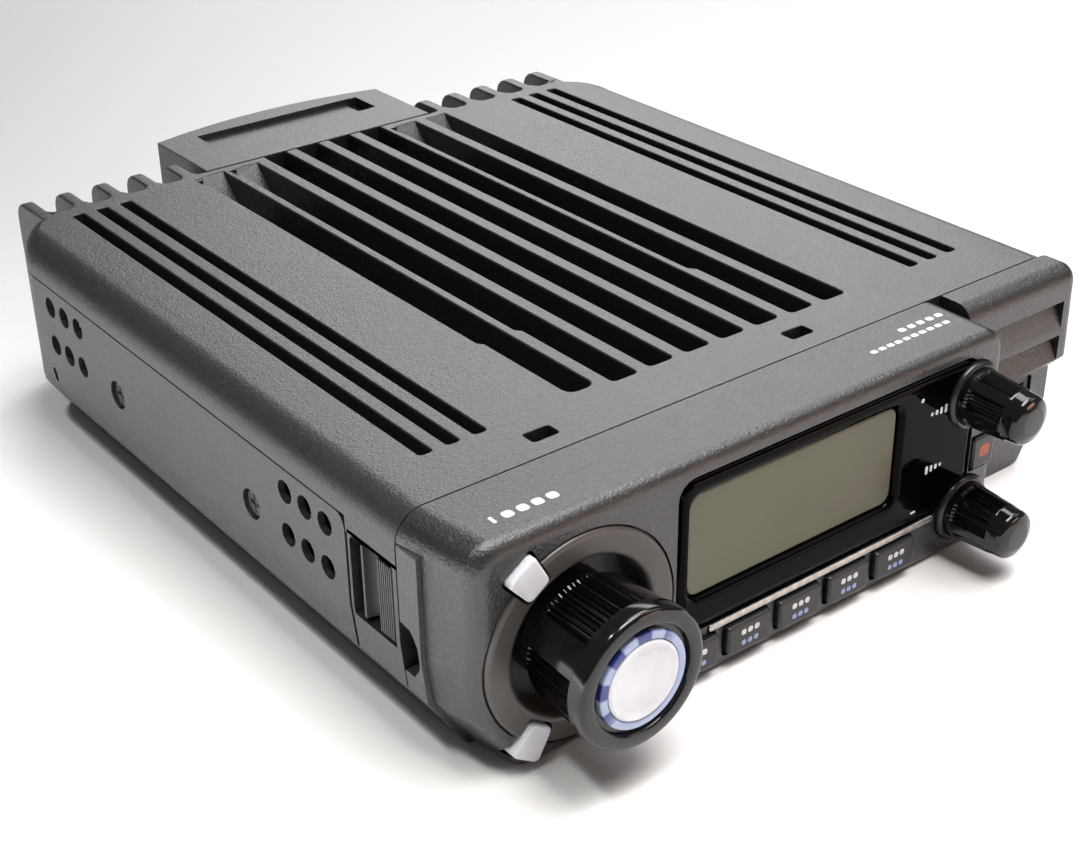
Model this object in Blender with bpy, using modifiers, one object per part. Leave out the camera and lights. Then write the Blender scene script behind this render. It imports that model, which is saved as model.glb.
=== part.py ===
"""A mobile transceiver: a finned main unit with a detachable control head.

Metres, +Z up, -Y towards the operator, +X to the operator's right. The origin is the
middle of the flat underside of the main unit, halfway along its heat-sink plate.
"""

from math import cos, hypot, pi, sin

import bmesh
import bpy
from mathutils import Matrix, Vector

# ---- Overall sizes ---------------------------------------------------------------------------
BODY_WIDTH = 0.141
BODY_HEIGHT = 0.040
BODY_LENGTH = 0.1315  # the heat-sink plate, from the head's seam to its rear edge
HEAD_WIDTH = 0.111
HEAD_DEPTH = 0.015
REAR_FIN_LENGTH = 0.0108
HOUSING_DEPTH = 0.025  # the fan housing, past the plate's rear edge

# ---- Clearances and walls --------------------------------------------------------------------
GAP = 0.0003  # between pieces that rest on or fill one another
RUNNING_GAP = 0.0006  # around pieces that turn or slide
COVER_THICKNESS = 0.0012
CASE_WALL = 0.002
BOARD_THICKNESS = 0.0016

# ---- The main unit's outline -----------------------------------------------------------------
TOP_RADIUS = 0.005
LEAN_TOP_Z = 0.0185  # below this the sides lean in a little
LEAN_INSET = 0.0008
CHAMFER_TOP_Z = 0.0105  # below this they slope in to the underside
CHAMFER_INSET = 0.0075
REAR_CORNER_RADIUS = 0.0115
FLANGE_SEAM_Z = 0.0335  # the upper edge of the bottom cover
FLANGE_SETBACK = 0.0133  # from the head's seam back to the bottom cover's front edge
CORNER_STEPS = 4

# ---- Heat sink -------------------------------------------------------------------------------
SINK_BASE_Z = 0.027  # the flat inner face that the boards and the power module use
GROOVE_DEPTH = 0.0085
CHANNEL_WIDTH = 0.005
FIN_PITCH = 0.00775
CHANNEL_COUNT = 8
OPEN_CHANNELS = 4  # the middle ones, which run right through to the fan
CHANNEL_FRONT = 0.0111  # from the head's seam to the channels' front ends
CHANNEL_REAR = 0.0020  # from the plate's rear edge to the outer channels' ramps
SLOT_WIDTH = 0.0023
SLOT_PITCH = 0.0049
SLOT_OUTER_X = 0.0571  # the outermost slot's centre line
SLOT_FRONT = 0.0112
SLOT_REAR = 0.0040
SLOTS_A_SIDE = 3
REAR_FIN_THICKNESS = 0.0025
REAR_FINS_A_SIDE = 5
REAR_FIN_CLEAR = 0.0038  # from the fan housing's side to the first fin's middle
REAR_FIN_MARGIN = 0.0085  # from the last fin's middle to the main unit's side
TALL_REAR_FINS = 2  # the outer ones on each side reach down past the sockets
SHORT_FIN_BOTTOM_Z = 0.0245
FIN_DROP = 0.0002  # their tops lie just under the plate's
WINDOW_SIZE = (0.0049, 0.0030)
WINDOW_CENTRES_X = (-0.0407, 0.0124)
WINDOW_SETBACK = 0.0053
WINDOW_DEPTH = 0.004

# ---- Bottom cover ----------------------------------------------------------------------------
BRACKET_HOLE_RADIUS = 0.0020
BRACKET_HOLE_PITCH_Y = 0.0057
BRACKET_HOLE_ROWS_Z = (0.0218, 0.0295)
FRONT_HOLES_PLACE = 0.02455  # of the group's middle, from the head's seam
REAR_HOLES_PLACE = 0.02355  # of the group's middle, from the plate's rear edge
FRONT_SCREW_PLACE = 0.04155
REAR_SCREW_PLACE = 0.04325
SCREW_Z = 0.0219
SCREW_HEAD_RADIUS = 0.0024
SCREW_HEAD_HEIGHT = 0.0009
SCREW_SHANK_RADIUS = 0.0012
SCREW_LENGTH = 0.0045

# ---- Speaker ---------------------------------------------------------------------------------
SPEAKER_RADIUS = 0.022
SPEAKER_HEIGHT = 0.0085
SPEAKER_X = -0.028
SPEAKER_PLACE = 0.04775  # of its middle, from the head's seam
SPEAKER_SLOT_COUNT = 7

# ---- Fan -------------------------------------------------------------------------------------
HOUSING_WIDTH = 0.0544
HOUSING_BOW = 0.0035  # how far the housing's rear bulges past its corners
HOUSING_WALL = 0.0012  # under the fan
HOUSING_ROOF = 0.0042  # over the fan
FAN_SIZE = 0.032
FAN_DEPTH = 0.010
FAN_CENTRE_Z = 0.0195
FAN_BORE_RADIUS = 0.0148
HUB_RADIUS = 0.0070
FAN_BLADES = 7

# ---- Latch -----------------------------------------------------------------------------------
LATCH_BOTTOM_Z = 0.0178
LATCH_HEIGHT = 0.0127
LATCH_LENGTH = 0.0084
LATCH_THICKNESS = 0.0042
LATCH_TRAVEL = 0.002
LATCH_FRONT = 0.0014  # from the head's seam back to the latch's front end

# ---- Control head ----------------------------------------------------------------------------
REAR_CASE_DEPTH = 0.0055  # the strip of the head's rear case next to the seam
HEAD_LIP_Z = 0.0360  # the front case reaches back over the rear case above this
HEAD_TOP_RADIUS = 0.0045
FRONT_EDGE_RADIUS = 0.0022
SIDE_TAPER = 0.0028
FACE_WALL = 0.0022

# ---- Display ---------------------------------------------------------------------------------
BEZEL_PLACES = (0.0393, 0.1047)  # of its sides, from the head's left side
BEZEL_Z = (0.0096, 0.0369)
BEZEL_RADIUS = 0.0030
BEZEL_THICKNESS = 0.0014
BEZEL_STANDS = 0.0003  # proud of the face
SCREEN_PLACES = (0.0417, 0.0863)
SCREEN_Z = (0.0155, 0.0337)
SCREEN_RADIUS = 0.0022
LENS_THICKNESS = 0.0010
LCD_THICKNESS = 0.0018
STRIP_Z = (0.0080, 0.0093)
STRIP_PLACES = (0.0460, 0.0970)

# ---- Dial ------------------------------------------------------------------------------------
DIAL_PLACE = 0.0212  # of its middle, from the head's left side
DIAL_Z = 0.0188
RING_RADIUS = 0.0172
RING_BORE_RADIUS = 0.0128
RING_STANDS = 0.0005
DIAL_RADIUS = 0.0113
DIAL_WAIST_RADIUS = 0.0104
DIAL_LENGTH = 0.0136  # from the head's face to the dial's front
DIAL_BUTTON_RADIUS = 0.0078
DIAL_BUTTON_TRAVEL = 0.0005

# ---- Keys ------------------------------------------------------------------------------------
KEY_COUNT = 5
KEY_WIDTH = 0.0093
KEY_PITCH = 0.01105
KEY_LAST_PLACE = 0.0871  # of the last key's middle, from the head's left side
KEY_Z = (0.0021, 0.0076)
KEY_STANDS = 0.0012
KEY_TRAVEL = 0.0006
CORNER_KEY_ANGLE = 125 * pi / 180  # from +X about the dial's centre
CORNER_KEY_SIZE = (0.0058, 0.0054)
CORNER_KEY_PLACE = 0.0170
POWER_KEY_Z = (0.0148, 0.0208)
POWER_KEY_WIDTH = 0.0058

# ---- Small knobs -----------------------------------------------------------------------------
KNOB_PLACE = 0.0073  # of their middles, from the head's right side
KNOBS_Z = {"volume": 0.0299, "squelch": 0.0082}
COLLAR_RADIUS = 0.0060
COLLAR_STANDS = 0.0012
KNOB_BASE_RADIUS = 0.0051
KNOB_TIP_RADIUS = 0.0044
KNOB_LENGTH = 0.0112
KNOB_SHAFT_RADIUS = 0.0015
POT_SIZE = (0.0070, 0.0056, 0.0070)

# ---- Corner block on the main unit, beside the head ------------------------------------------
BLOCK_GAP = 0.0007
BLOCK_DEPTH = 0.0070
BLOCK_STEP = 0.0035  # how far the lower half is set back
BLOCK_STEP_Z = 0.0222
BLOCK_TOP_RADIUS = 0.0032
LOUVRE_HEIGHT = 0.0052
LOUVRE_PITCH = 0.0067
LOUVRE_TOP_Z = 0.0338
LOUVRE_DEPTH = 0.0019
JACK_WIDTH = 0.0116
JACK_Z = (0.0085, 0.0185)
JACK_PLACE = 0.0111  # of its middle, from the main unit's right side
JACK_DEPTH = 0.0120

# ---- Connector between the head and the main unit --------------------------------------------
PLUG_SIZE = (0.016, 0.006)
PLUG_X = 0.0
PLUG_Z = 0.018
SOCKET_WALL = 0.0015

# ---- Rear sockets ----------------------------------------------------------------------------
ANTENNA_X = 0.0405
POWER_INLET_X = -0.0405
SOCKET_Z = 0.0125
ANTENNA_RADIUS = 0.0079
ANTENNA_LENGTH = 0.0150
FLANGE_SIZE = 0.0175
SMALL_JACK_RADIUS = 0.0023
SMALL_JACK_BORE_RADIUS = 0.00175

# ---- Derived planes --------------------------------------------------------------------------
HALF_WIDTH = BODY_WIDTH / 2
SEAM_Y = -BODY_LENGTH / 2
REAR_Y = BODY_LENGTH / 2
FACE_Y = SEAM_Y - HEAD_DEPTH
COVER_FRONT_Y = SEAM_Y + FLANGE_SETBACK
HEAD_LEFT_X = -HALF_WIDTH
HEAD_RIGHT_X = HEAD_LEFT_X + HEAD_WIDTH
GROOVE_FLOOR_Z = BODY_HEIGHT - GROOVE_DEPTH
FIN_END_Y = REAR_Y + REAR_FIN_LENGTH
HOUSING_END_Y = REAR_Y + HOUSING_DEPTH
BEZEL_X = (HEAD_LEFT_X + BEZEL_PLACES[0], HEAD_LEFT_X + BEZEL_PLACES[1])
SCREEN_X = (HEAD_LEFT_X + SCREEN_PLACES[0], HEAD_LEFT_X + SCREEN_PLACES[1])
STRIP_X = (HEAD_LEFT_X + STRIP_PLACES[0], HEAD_LEFT_X + STRIP_PLACES[1])
DIAL_X = HEAD_LEFT_X + DIAL_PLACE
KEY_LAST_X = HEAD_LEFT_X + KEY_LAST_PLACE
KNOB_X = HEAD_RIGHT_X - KNOB_PLACE
JACK_X = HALF_WIDTH - JACK_PLACE
SPEAKER_Y = SEAM_Y + SPEAKER_PLACE
FRONT_HOLES_Y = SEAM_Y + FRONT_HOLES_PLACE
REAR_HOLES_Y = REAR_Y - REAR_HOLES_PLACE
SCREWS_Y = (SEAM_Y + FRONT_SCREW_PLACE, REAR_Y - REAR_SCREW_PLACE)
HOUSING_BOTTOM_Z = FAN_CENTRE_Z - FAN_SIZE / 2 - GAP - HOUSING_WALL
HOUSING_TOP_Z = FAN_CENTRE_Z + FAN_SIZE / 2 + GAP + HOUSING_ROOF
STEM_END_Y = FACE_Y + FACE_WALL + 0.0007  # the inner ends of the keys' stems
KEY_HOLE_END_Y = STEM_END_Y + KEY_TRAVEL + GAP
BEYOND = 0.010  # how far cutters run past what they cut
FACING = {
    "X": (0, pi / 2, 0),
    "-X": (0, -pi / 2, 0),
    "-Y": (pi / 2, 0, 0),
    "Y": (-pi / 2, 0, 0),
    "Z": (0, 0, 0),
}

for old in list(bpy.data.objects):
    bpy.data.objects.remove(old, do_unlink=True)
parts = bpy.data.collections.new("mobile_transceiver")
cutters = bpy.data.collections.new("cutters")
for collection in (parts, cutters):
    bpy.context.scene.collection.children.link(collection)


# ---- Materials -------------------------------------------------------------------------------
def material(name, colour, roughness, metallic=0.0):
    """A Principled material, made once for each name."""
    if name in bpy.data.materials:
        return bpy.data.materials[name]
    made = bpy.data.materials.new(name)
    made.use_nodes = True
    shader = made.node_tree.nodes["Principled BSDF"]
    shader.inputs["Base Color"].default_value = (*colour, 1.0)
    shader.inputs["Roughness"].default_value = roughness
    shader.inputs["Metallic"].default_value = metallic
    return made


CAST = material("black_painted_casting", (0.045, 0.046, 0.046), 0.62)
STEEL = material("black_painted_steel", (0.050, 0.055, 0.052), 0.55)
HEAD_PLASTIC = material("black_textured_plastic", (0.035, 0.036, 0.036), 0.50)
GLOSS = material("gloss_black_plastic", (0.008, 0.008, 0.009), 0.08)
KNOB = material("black_knob_plastic", (0.014, 0.014, 0.015), 0.28)
KEYCAP = material("black_keycap", (0.018, 0.018, 0.019), 0.40)
WHITE = material("translucent_white", (0.78, 0.80, 0.82), 0.35)
LENS = material("clear_lens", (0.80, 0.80, 0.78), 0.05)
LCD = material("grey_lcd", (0.21, 0.21, 0.16), 0.30)
SILVER = material("silver_paint", (0.45, 0.46, 0.46), 0.30, 0.6)
NICKEL = material("nickel", (0.62, 0.60, 0.55), 0.30, 1.0)
SCREW_STEEL = material("screw_steel", (0.30, 0.30, 0.30), 0.35, 1.0)
BOARD = material("green_board", (0.03, 0.12, 0.05), 0.50)
TIN = material("tinned_shield", (0.60, 0.60, 0.58), 0.35, 1.0)
DARK = material("black_part", (0.02, 0.02, 0.02), 0.50)


# ---- Making shapes ---------------------------------------------------------------------------
def add(name, mesh, place=(0, 0, 0), finish=None, facing="Z"):
    """Puts a mesh in the scene as a part, or as a hidden cutter when it has no finish."""
    piece = bpy.data.objects.new(name, mesh)
    piece.location = place
    piece.rotation_euler = FACING[facing]
    if finish is None:
        cutters.objects.link(piece)
        piece.hide_render = True
        piece.display_type = "WIRE"
    else:
        parts.objects.link(piece)
        mesh.materials.clear()
        mesh.materials.append(finish)
    bpy.context.view_layer.update()
    return piece


def block_mesh(blocks):
    """One mesh of separate blocks, each between a low and a high corner."""
    bm = bmesh.new()
    for low, high in blocks:
        size = Vector(high) - Vector(low)
        middle = (Vector(high) + Vector(low)) / 2
        placing = Matrix.Translation(middle) @ Matrix.Diagonal((*size, 1.0))
        bmesh.ops.create_cube(bm, size=1.0, matrix=placing)
    mesh = bpy.data.meshes.new("blocks")
    bm.to_mesh(mesh)
    bm.free()
    return mesh


def box(name, low, high, finish=None, radius=0.0, segments=2):
    """A block with its origin at its centre and, if asked, rounded edges."""
    middle = (Vector(high) + Vector(low)) / 2
    piece = add(name, block_mesh([(Vector(low) - middle, Vector(high) - middle)]), middle, finish)
    if radius:
        round_edges(piece, radius, segments)
    return piece


def round_edges(piece, radius, segments=2, angle=40):
    """Rounds every edge sharper than the angle, in degrees."""
    bevel = piece.modifiers.new("rounding", "BEVEL")
    bevel.width = radius
    bevel.segments = segments
    bevel.limit_method = "ANGLE"
    bevel.angle_limit = angle * pi / 180
    return bevel


def rounded(points, steps=CORNER_STEPS):
    """A closed outline from (x, y, radius) corners, each radius drawn as an arc."""
    outline = []
    count = len(points)
    for n, (x, y, radius) in enumerate(points):
        here = Vector((x, y))
        back = (Vector(points[n - 1][:2]) - here).normalized()
        on = (Vector(points[(n + 1) % count][:2]) - here).normalized()
        if radius <= 0:
            outline.append(here)
            continue
        half = back.angle(on) / 2
        centre = here + (back + on).normalized() * (radius / sin(half))
        start = here + back * (radius / abs(sin(half) / cos(half))) - centre
        sweep = pi - 2 * half
        turn = 1 if back.x * on.y - back.y * on.x < 0 else -1
        for step in range(steps + 1):
            angle = turn * sweep * step / steps
            outline.append(centre + Matrix.Rotation(angle, 2) @ start)
    return outline


def rectangle(low, high, radius=0.0):
    """The four corners of a rounded rectangle, for rounded()."""
    corners = [(low[0], low[1]), (high[0], low[1]), (high[0], high[1]), (low[0], high[1])]
    return [(x, y, radius) for x, y in corners]


def circle(centre, radius, steps=32):
    """A round outline."""
    angles = [2 * pi * n / steps for n in range(steps)]
    return [Vector((centre[0] + radius * cos(a), centre[1] + radius * sin(a))) for a in angles]


def slab_mesh(outlines, along, low, high):
    """Flat outlines given thickness along an axis: XZ outlines along Y, YZ along X, XY along Z."""
    curve = bpy.data.curves.new("outline", "CURVE")
    curve.dimensions = "2D"
    curve.fill_mode = "BOTH"
    curve.extrude = (high - low) / 2
    for outline in outlines:
        spline = curve.splines.new("POLY")
        spline.points.add(len(outline) - 1)
        for point, corner in zip(spline.points, outline):
            point.co = (corner[0], corner[1], 0, 1)
        spline.use_cyclic_u = True
    drawn = bpy.data.objects.new("outline", curve)
    cutters.objects.link(drawn)
    bpy.context.view_layer.update()
    graph = bpy.context.evaluated_depsgraph_get()
    mesh = bpy.data.meshes.new_from_object(drawn.evaluated_get(graph))
    bpy.data.objects.remove(drawn, do_unlink=True)
    turn = {
        "X": Matrix(((0, 0, 1), (1, 0, 0), (0, 1, 0))),
        "Y": Matrix(((1, 0, 0), (0, 0, -1), (0, 1, 0))),
        "Z": Matrix.Identity(3),
    }[along]
    middle = turn @ Vector((0, 0, (low + high) / 2))
    if along == "Y":
        middle = -middle
    mesh.transform(Matrix.Translation(middle) @ turn.to_4x4())
    bm = bmesh.new()
    bm.from_mesh(mesh)
    bmesh.ops.remove_doubles(bm, verts=bm.verts, dist=0.000001)
    bmesh.ops.recalc_face_normals(bm, faces=bm.faces)
    bm.to_mesh(mesh)
    bm.free()
    return mesh


def slab(name, outlines, along, low, high, finish=None, origin=(0, 0, 0)):
    """A flat piece made from outlines; the origin is where its object is placed."""
    mesh = slab_mesh(outlines, along, low, high)
    mesh.transform(Matrix.Translation(-Vector(origin)))
    return add(name, mesh, origin, finish)


def turned(name, profile, place, facing, finish=None, steps=32):
    """A turned piece: (radius, height) points from the top axis point down the outside."""
    mesh = bpy.data.meshes.new(name)
    edges = [(n, n + 1) for n in range(len(profile) - 1)]
    if profile[0] == profile[-1]:
        profile = profile[:-1]
        edges[-1] = (len(profile) - 1, 0)
    corners = [(radius, 0, height) for radius, height in profile]
    mesh.from_pydata(corners, edges, [])
    piece = add(name, mesh, place, finish, facing)
    screw = piece.modifiers.new("turning", "SCREW")
    screw.steps = steps
    screw.render_steps = steps
    screw.use_merge_vertices = True
    screw.merge_threshold = 0.00001
    return piece


def rod(name, radius, start, end, facing, place, finish=None, steps=24):
    """A plain round rod between two heights along its facing direction."""
    profile = [(0, end), (radius, end), (radius, start), (0, start)]
    return turned(name, profile, place, facing, finish, steps)


def combine(piece, other, operation="DIFFERENCE"):
    """Cuts the other shape from the piece, joins it on, or keeps what they share."""
    modifier = piece.modifiers.new(operation.lower(), "BOOLEAN")
    modifier.operation = operation
    modifier.solver = "EXACT"
    modifier.object = other
    return piece


def smooth(*pieces, angle=35):
    """Shades curved surfaces smooth, with sharp edges kept."""
    for piece in pieces:
        piece.data.shade_smooth()
        piece.data.set_sharp_from_angle(angle=angle * pi / 180)


# ---- The main unit's outlines ----------------------------------------------------------------
def side_points(inset, low):
    """How far in from the side's plane its surface runs, as (distance, Z) points from a height up."""
    corners = [
        (CHAMFER_INSET, 0.0),
        (LEAN_INSET, CHAMFER_TOP_Z),
        (0.0, LEAN_TOP_Z),
        (0.0, BODY_HEIGHT),
    ]
    lines = []
    for (start, z), (end, top) in zip(corners, corners[1:]):
        length = hypot(end - start, top - z)
        across = (top - z) / length
        up = (start - end) / length
        lines.append((across, up, across * start + up * z + inset))
    knees = []
    for (across, up, reach), (next_across, next_up, next_reach) in zip(lines, lines[1:]):
        turn = across * next_up - up * next_across
        distance = (reach * next_up - up * next_reach) / turn
        knees.append((distance, (across * next_reach - reach * next_across) / turn))
    points = [knee for knee in knees if knee[1] > low]
    across, up, reach = lines[len(knees) - len(points)]
    return [((reach - up * low) / across, low)] + points


def body_section(inset=0.0, low=0.0, high=BODY_HEIGHT):
    """The XZ outline of the main unit, set in from its surface and cut off above and below."""
    side = HALF_WIDTH - inset
    radius = TOP_RADIUS if high == BODY_HEIGHT else 0.0
    right = [(HALF_WIDTH - run, z, 0) for run, z in side_points(inset, max(low, inset))]
    left = [(-x, z, r) for x, z, r in reversed(right)]
    return rounded(right + [(side, high, radius), (-side, high, radius)] + left)


def body_plan(inset=0.0, front=SEAM_Y):
    """The XY outline of the main unit, with its rounded rear corners."""
    side = HALF_WIDTH - inset
    rear = REAR_Y - inset
    radius = REAR_CORNER_RADIUS - inset
    corners = [(-side, front, 0), (side, front, 0), (side, rear, radius), (-side, rear, radius)]
    return rounded(corners, steps=6)


def body_prism(name, inset, low, high, front, rear, finish=None):
    """A length of the main unit's section, trimmed to its plan."""
    piece = slab(name, [body_section(inset, low, high)], "Y", front, rear, finish)
    if rear >= REAR_Y - inset:
        plan = slab(name + "_plan", [body_plan(inset, front - BEYOND)], "Z", -BEYOND, BODY_HEIGHT + BEYOND)
        combine(piece, plan, "INTERSECT")
    return piece


# ---- Chassis: one casting with the heat sink on top ------------------------------------------
def groove_cutter():
    """The eight deep channels between the fins and the three slots on each side."""
    low = GROOVE_FLOOR_Z
    high = BODY_HEIGHT + BEYOND
    outer = (CHANNEL_COUNT - OPEN_CHANNELS) / 2
    blocks = []
    for side in (-1, 1):
        for n in range(SLOTS_A_SIDE):
            x = side * (SLOT_OUTER_X - n * SLOT_PITCH)
            near = (x - SLOT_WIDTH / 2, SEAM_Y + SLOT_FRONT, low)
            blocks.append((near, (x + SLOT_WIDTH / 2, REAR_Y - SLOT_REAR, high)))
    for n in range(CHANNEL_COUNT):
        x = (n - (CHANNEL_COUNT - 1) / 2) * FIN_PITCH
        is_open = outer <= n < CHANNEL_COUNT - outer
        rear = REAR_Y + BEYOND if is_open else REAR_Y - CHANNEL_REAR - GROOVE_DEPTH
        near = (x - CHANNEL_WIDTH / 2, SEAM_Y + CHANNEL_FRONT, low)
        blocks.append((near, (x + CHANNEL_WIDTH / 2, rear, high)))
    for x in WINDOW_CENTRES_X:
        window_front = SEAM_Y + WINDOW_SETBACK - WINDOW_SIZE[1] / 2
        near = (x - WINDOW_SIZE[0] / 2, window_front, BODY_HEIGHT - WINDOW_DEPTH)
        far = (x + WINDOW_SIZE[0] / 2, SEAM_Y + WINDOW_SETBACK + WINDOW_SIZE[1] / 2, high)
        blocks.append((near, far))
    return add("groove_cutter", block_mesh(blocks))


def ramp_cutter(x):
    """The slope at the rear end of a closed channel, down from the plate to the channel's floor."""
    top = REAR_Y - CHANNEL_REAR
    foot = top - GROOVE_DEPTH
    outline = [
        (foot - BEYOND, GROOVE_FLOOR_Z),
        (foot, GROOVE_FLOOR_Z),
        (top, BODY_HEIGHT),
        (top, BODY_HEIGHT + BEYOND),
        (foot - BEYOND, BODY_HEIGHT + BEYOND),
    ]
    return slab("ramp_cutter", [outline], "X", x - CHANNEL_WIDTH / 2, x + CHANNEL_WIDTH / 2)


def rear_fin_places():
    """The middles of the fins behind the plate, evenly between the housing and the corner."""
    first = HOUSING_WIDTH / 2 + REAR_FIN_CLEAR
    pitch = (HALF_WIDTH - REAR_FIN_MARGIN - first) / (REAR_FINS_A_SIDE - 1)
    return [side * (first + n * pitch) for side in (-1, 1) for n in range(REAR_FINS_A_SIDE)]


def rear_fins():
    """The fins behind the plate; the outer ones are tall, the others clear the sockets."""
    root = REAR_Y - CASE_WALL
    places = rear_fin_places()
    tall_from = sorted(places)[-TALL_REAR_FINS] - REAR_FIN_THICKNESS
    tip = 0.0035
    made = None
    for x in places:
        bottom = COVER_THICKNESS + GAP if abs(x) > tall_from else SHORT_FIN_BOTTOM_Z
        top = BODY_HEIGHT - FIN_DROP
        corners = [(root, bottom, 0), (FIN_END_Y, bottom, 0.001), (FIN_END_Y, top, tip), (root, top, 0)]
        low = x - REAR_FIN_THICKNESS / 2
        fin = slab("rear_fin", [rounded(corners)], "X", low, low + REAR_FIN_THICKNESS)
        made = fin if made is None else combine(made, fin, "UNION")
    return made


def make_chassis():
    """Plate and fins, side walls behind the cover's flanges, front bulkhead and rear wall."""
    skin = COVER_THICKNESS + GAP
    cavity_front = COVER_FRONT_Y + CASE_WALL
    cavity_rear = REAR_Y - skin - 0.003
    side = HALF_WIDTH - skin - 0.003
    skirt_z = LEAN_TOP_Z + 0.001
    chassis = body_prism("chassis", 0, FLANGE_SEAM_Z + GAP, BODY_HEIGHT, SEAM_Y, REAR_Y, CAST)
    lower_front = COVER_FRONT_Y - 0.002
    lower = body_prism("chassis_lower", skin, 0, FLANGE_SEAM_Z + 0.002, lower_front, REAR_Y - skin)
    front = body_prism("chassis_front", 0, 0, FLANGE_SEAM_Z + 0.002, SEAM_Y, COVER_FRONT_Y - GAP)
    combine(chassis, lower, "UNION")
    combine(chassis, front, "UNION")
    combine(chassis, rear_fins(), "UNION")
    cavity = [
        (-HALF_WIDTH - BEYOND, -BEYOND),
        (HALF_WIDTH + BEYOND, -BEYOND),
        (HALF_WIDTH + BEYOND, skirt_z),
        (side, skirt_z),
        (side, SINK_BASE_Z),
        (-side, SINK_BASE_Z),
        (-side, skirt_z),
        (-HALF_WIDTH - BEYOND, skirt_z),
    ]
    combine(chassis, slab("cavity_cutter", [cavity], "Y", cavity_front, cavity_rear))
    pocket_low = (-side + 0.006, SEAM_Y + 0.0025, 0.0035)
    pocket_high = (side - 0.006, cavity_front + 0.001, SINK_BASE_Z)
    combine(chassis, box("bulkhead_cutter", pocket_low, pocket_high))
    combine(chassis, groove_cutter())
    outer = (CHANNEL_COUNT - OPEN_CHANNELS) // 2
    for n in [*range(outer), *range(CHANNEL_COUNT - outer, CHANNEL_COUNT)]:
        combine(chassis, ramp_cutter((n - (CHANNEL_COUNT - 1) / 2) * FIN_PITCH))
    latch_low = (-HALF_WIDTH - BEYOND, SEAM_Y - BEYOND, LATCH_BOTTOM_Z - RUNNING_GAP)
    latch_rear = SEAM_Y + LATCH_FRONT + LATCH_LENGTH + LATCH_TRAVEL + RUNNING_GAP
    latch_top = LATCH_BOTTOM_Z + LATCH_HEIGHT + RUNNING_GAP
    latch_high = (-HALF_WIDTH + LATCH_THICKNESS + 0.0005, latch_rear, latch_top)
    combine(chassis, box("latch_cutter", latch_low, latch_high))
    spring_low = (-HALF_WIDTH + 0.0012, latch_rear - 0.0005, LATCH_BOTTOM_Z + LATCH_HEIGHT / 2 - 0.0016)
    spring_high = (-HALF_WIDTH + 0.0044, latch_rear + 0.0035, LATCH_BOTTOM_Z + LATCH_HEIGHT / 2 + 0.0016)
    combine(chassis, box("spring_cutter", spring_low, spring_high))
    combine(chassis, box("plug_cutter", *[Vector(c) for c in plug_window()]))
    jack_end = SEAM_Y - BLOCK_DEPTH + BLOCK_STEP + JACK_DEPTH + GAP
    jack_low = (JACK_X - JACK_WIDTH / 2, SEAM_Y - BEYOND, JACK_Z[0])
    combine(chassis, box("jack_cutter", jack_low, (JACK_X + JACK_WIDTH / 2, jack_end, JACK_Z[1])))
    for x, half in ((ANTENNA_X, FLANGE_SIZE / 2 - 0.002), (POWER_INLET_X, FLANGE_SIZE / 2 - 0.002)):
        low = (x - half, cavity_rear - 0.001, SOCKET_Z - half)
        high = (x + half, REAR_Y + BEYOND, SOCKET_Z + half)
        combine(chassis, box("socket_cutter", low, high))
    for x in small_jack_places().values():
        place = (x, cavity_rear - 0.001, SOCKET_Z)
        combine(chassis, rod("jack_hole", SMALL_JACK_RADIUS + GAP, 0, BEYOND, "Y", place, steps=20))
    for side_sign in (-1, 1):
        for y in SCREWS_Y:
            combine(chassis, screw_hole(side_sign, y))
        for y in (FRONT_HOLES_Y, REAR_HOLES_Y):
            combine(chassis, bracket_window(side_sign, y))
    return chassis


def bracket_window(side, y):
    """The opening in the side wall behind a group of bracket holes."""
    reach = BRACKET_HOLE_PITCH_Y + BRACKET_HOLE_RADIUS + 0.0005
    low_z = BRACKET_HOLE_ROWS_Z[0] - BRACKET_HOLE_RADIUS - 0.0005
    high_z = SINK_BASE_Z - 0.001
    low, high = sorted((side * (HALF_WIDTH - 0.009), side * (HALF_WIDTH + BEYOND)))
    return box("bracket_window", (low, y - reach, low_z), (high, y + reach, high_z))


def plug_window():
    """The corners of the opening in the bulkhead that the head's plug reaches through."""
    half = PLUG_SIZE[0] / 2 + 2 * RUNNING_GAP + SOCKET_WALL
    low_z = PLUG_Z - PLUG_SIZE[1] / 2 - 2 * RUNNING_GAP - SOCKET_WALL
    high_z = PLUG_Z + PLUG_SIZE[1] / 2 + 2 * RUNNING_GAP + SOCKET_WALL
    return (PLUG_X - half, SEAM_Y - BEYOND, low_z), (PLUG_X + half, SEAM_Y + 0.004, high_z)


def screw_hole(side, y):
    """The tapped hole behind a side screw."""
    place = (side * (HALF_WIDTH - 0.008), y, SCREW_Z)
    radius = SCREW_SHANK_RADIUS + GAP
    return rod("screw_hole", radius, 0, 0.012, "X" if side > 0 else "-X", place, steps=12)


# ---- Bottom cover: one folded and painted steel sheet, fixed by four side screws -------------
def bracket_holes(side):
    """The two groups of six mounting-bracket holes in one side."""
    outlines = []
    for middle in (FRONT_HOLES_Y, REAR_HOLES_Y):
        for n in (-1, 0, 1):
            for z in BRACKET_HOLE_ROWS_Z:
                outlines.append(circle((middle + n * BRACKET_HOLE_PITCH_Y, z), BRACKET_HOLE_RADIUS, 12))
    for y in SCREWS_Y:
        outlines.append(circle((y, SCREW_Z), SCREW_HEAD_RADIUS + GAP, 12))
    low, high = sorted((side * (HALF_WIDTH - COVER_THICKNESS - 0.0002), side * (HALF_WIDTH + BEYOND)))
    return slab("bracket_holes", outlines, "X", low, high)


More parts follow.
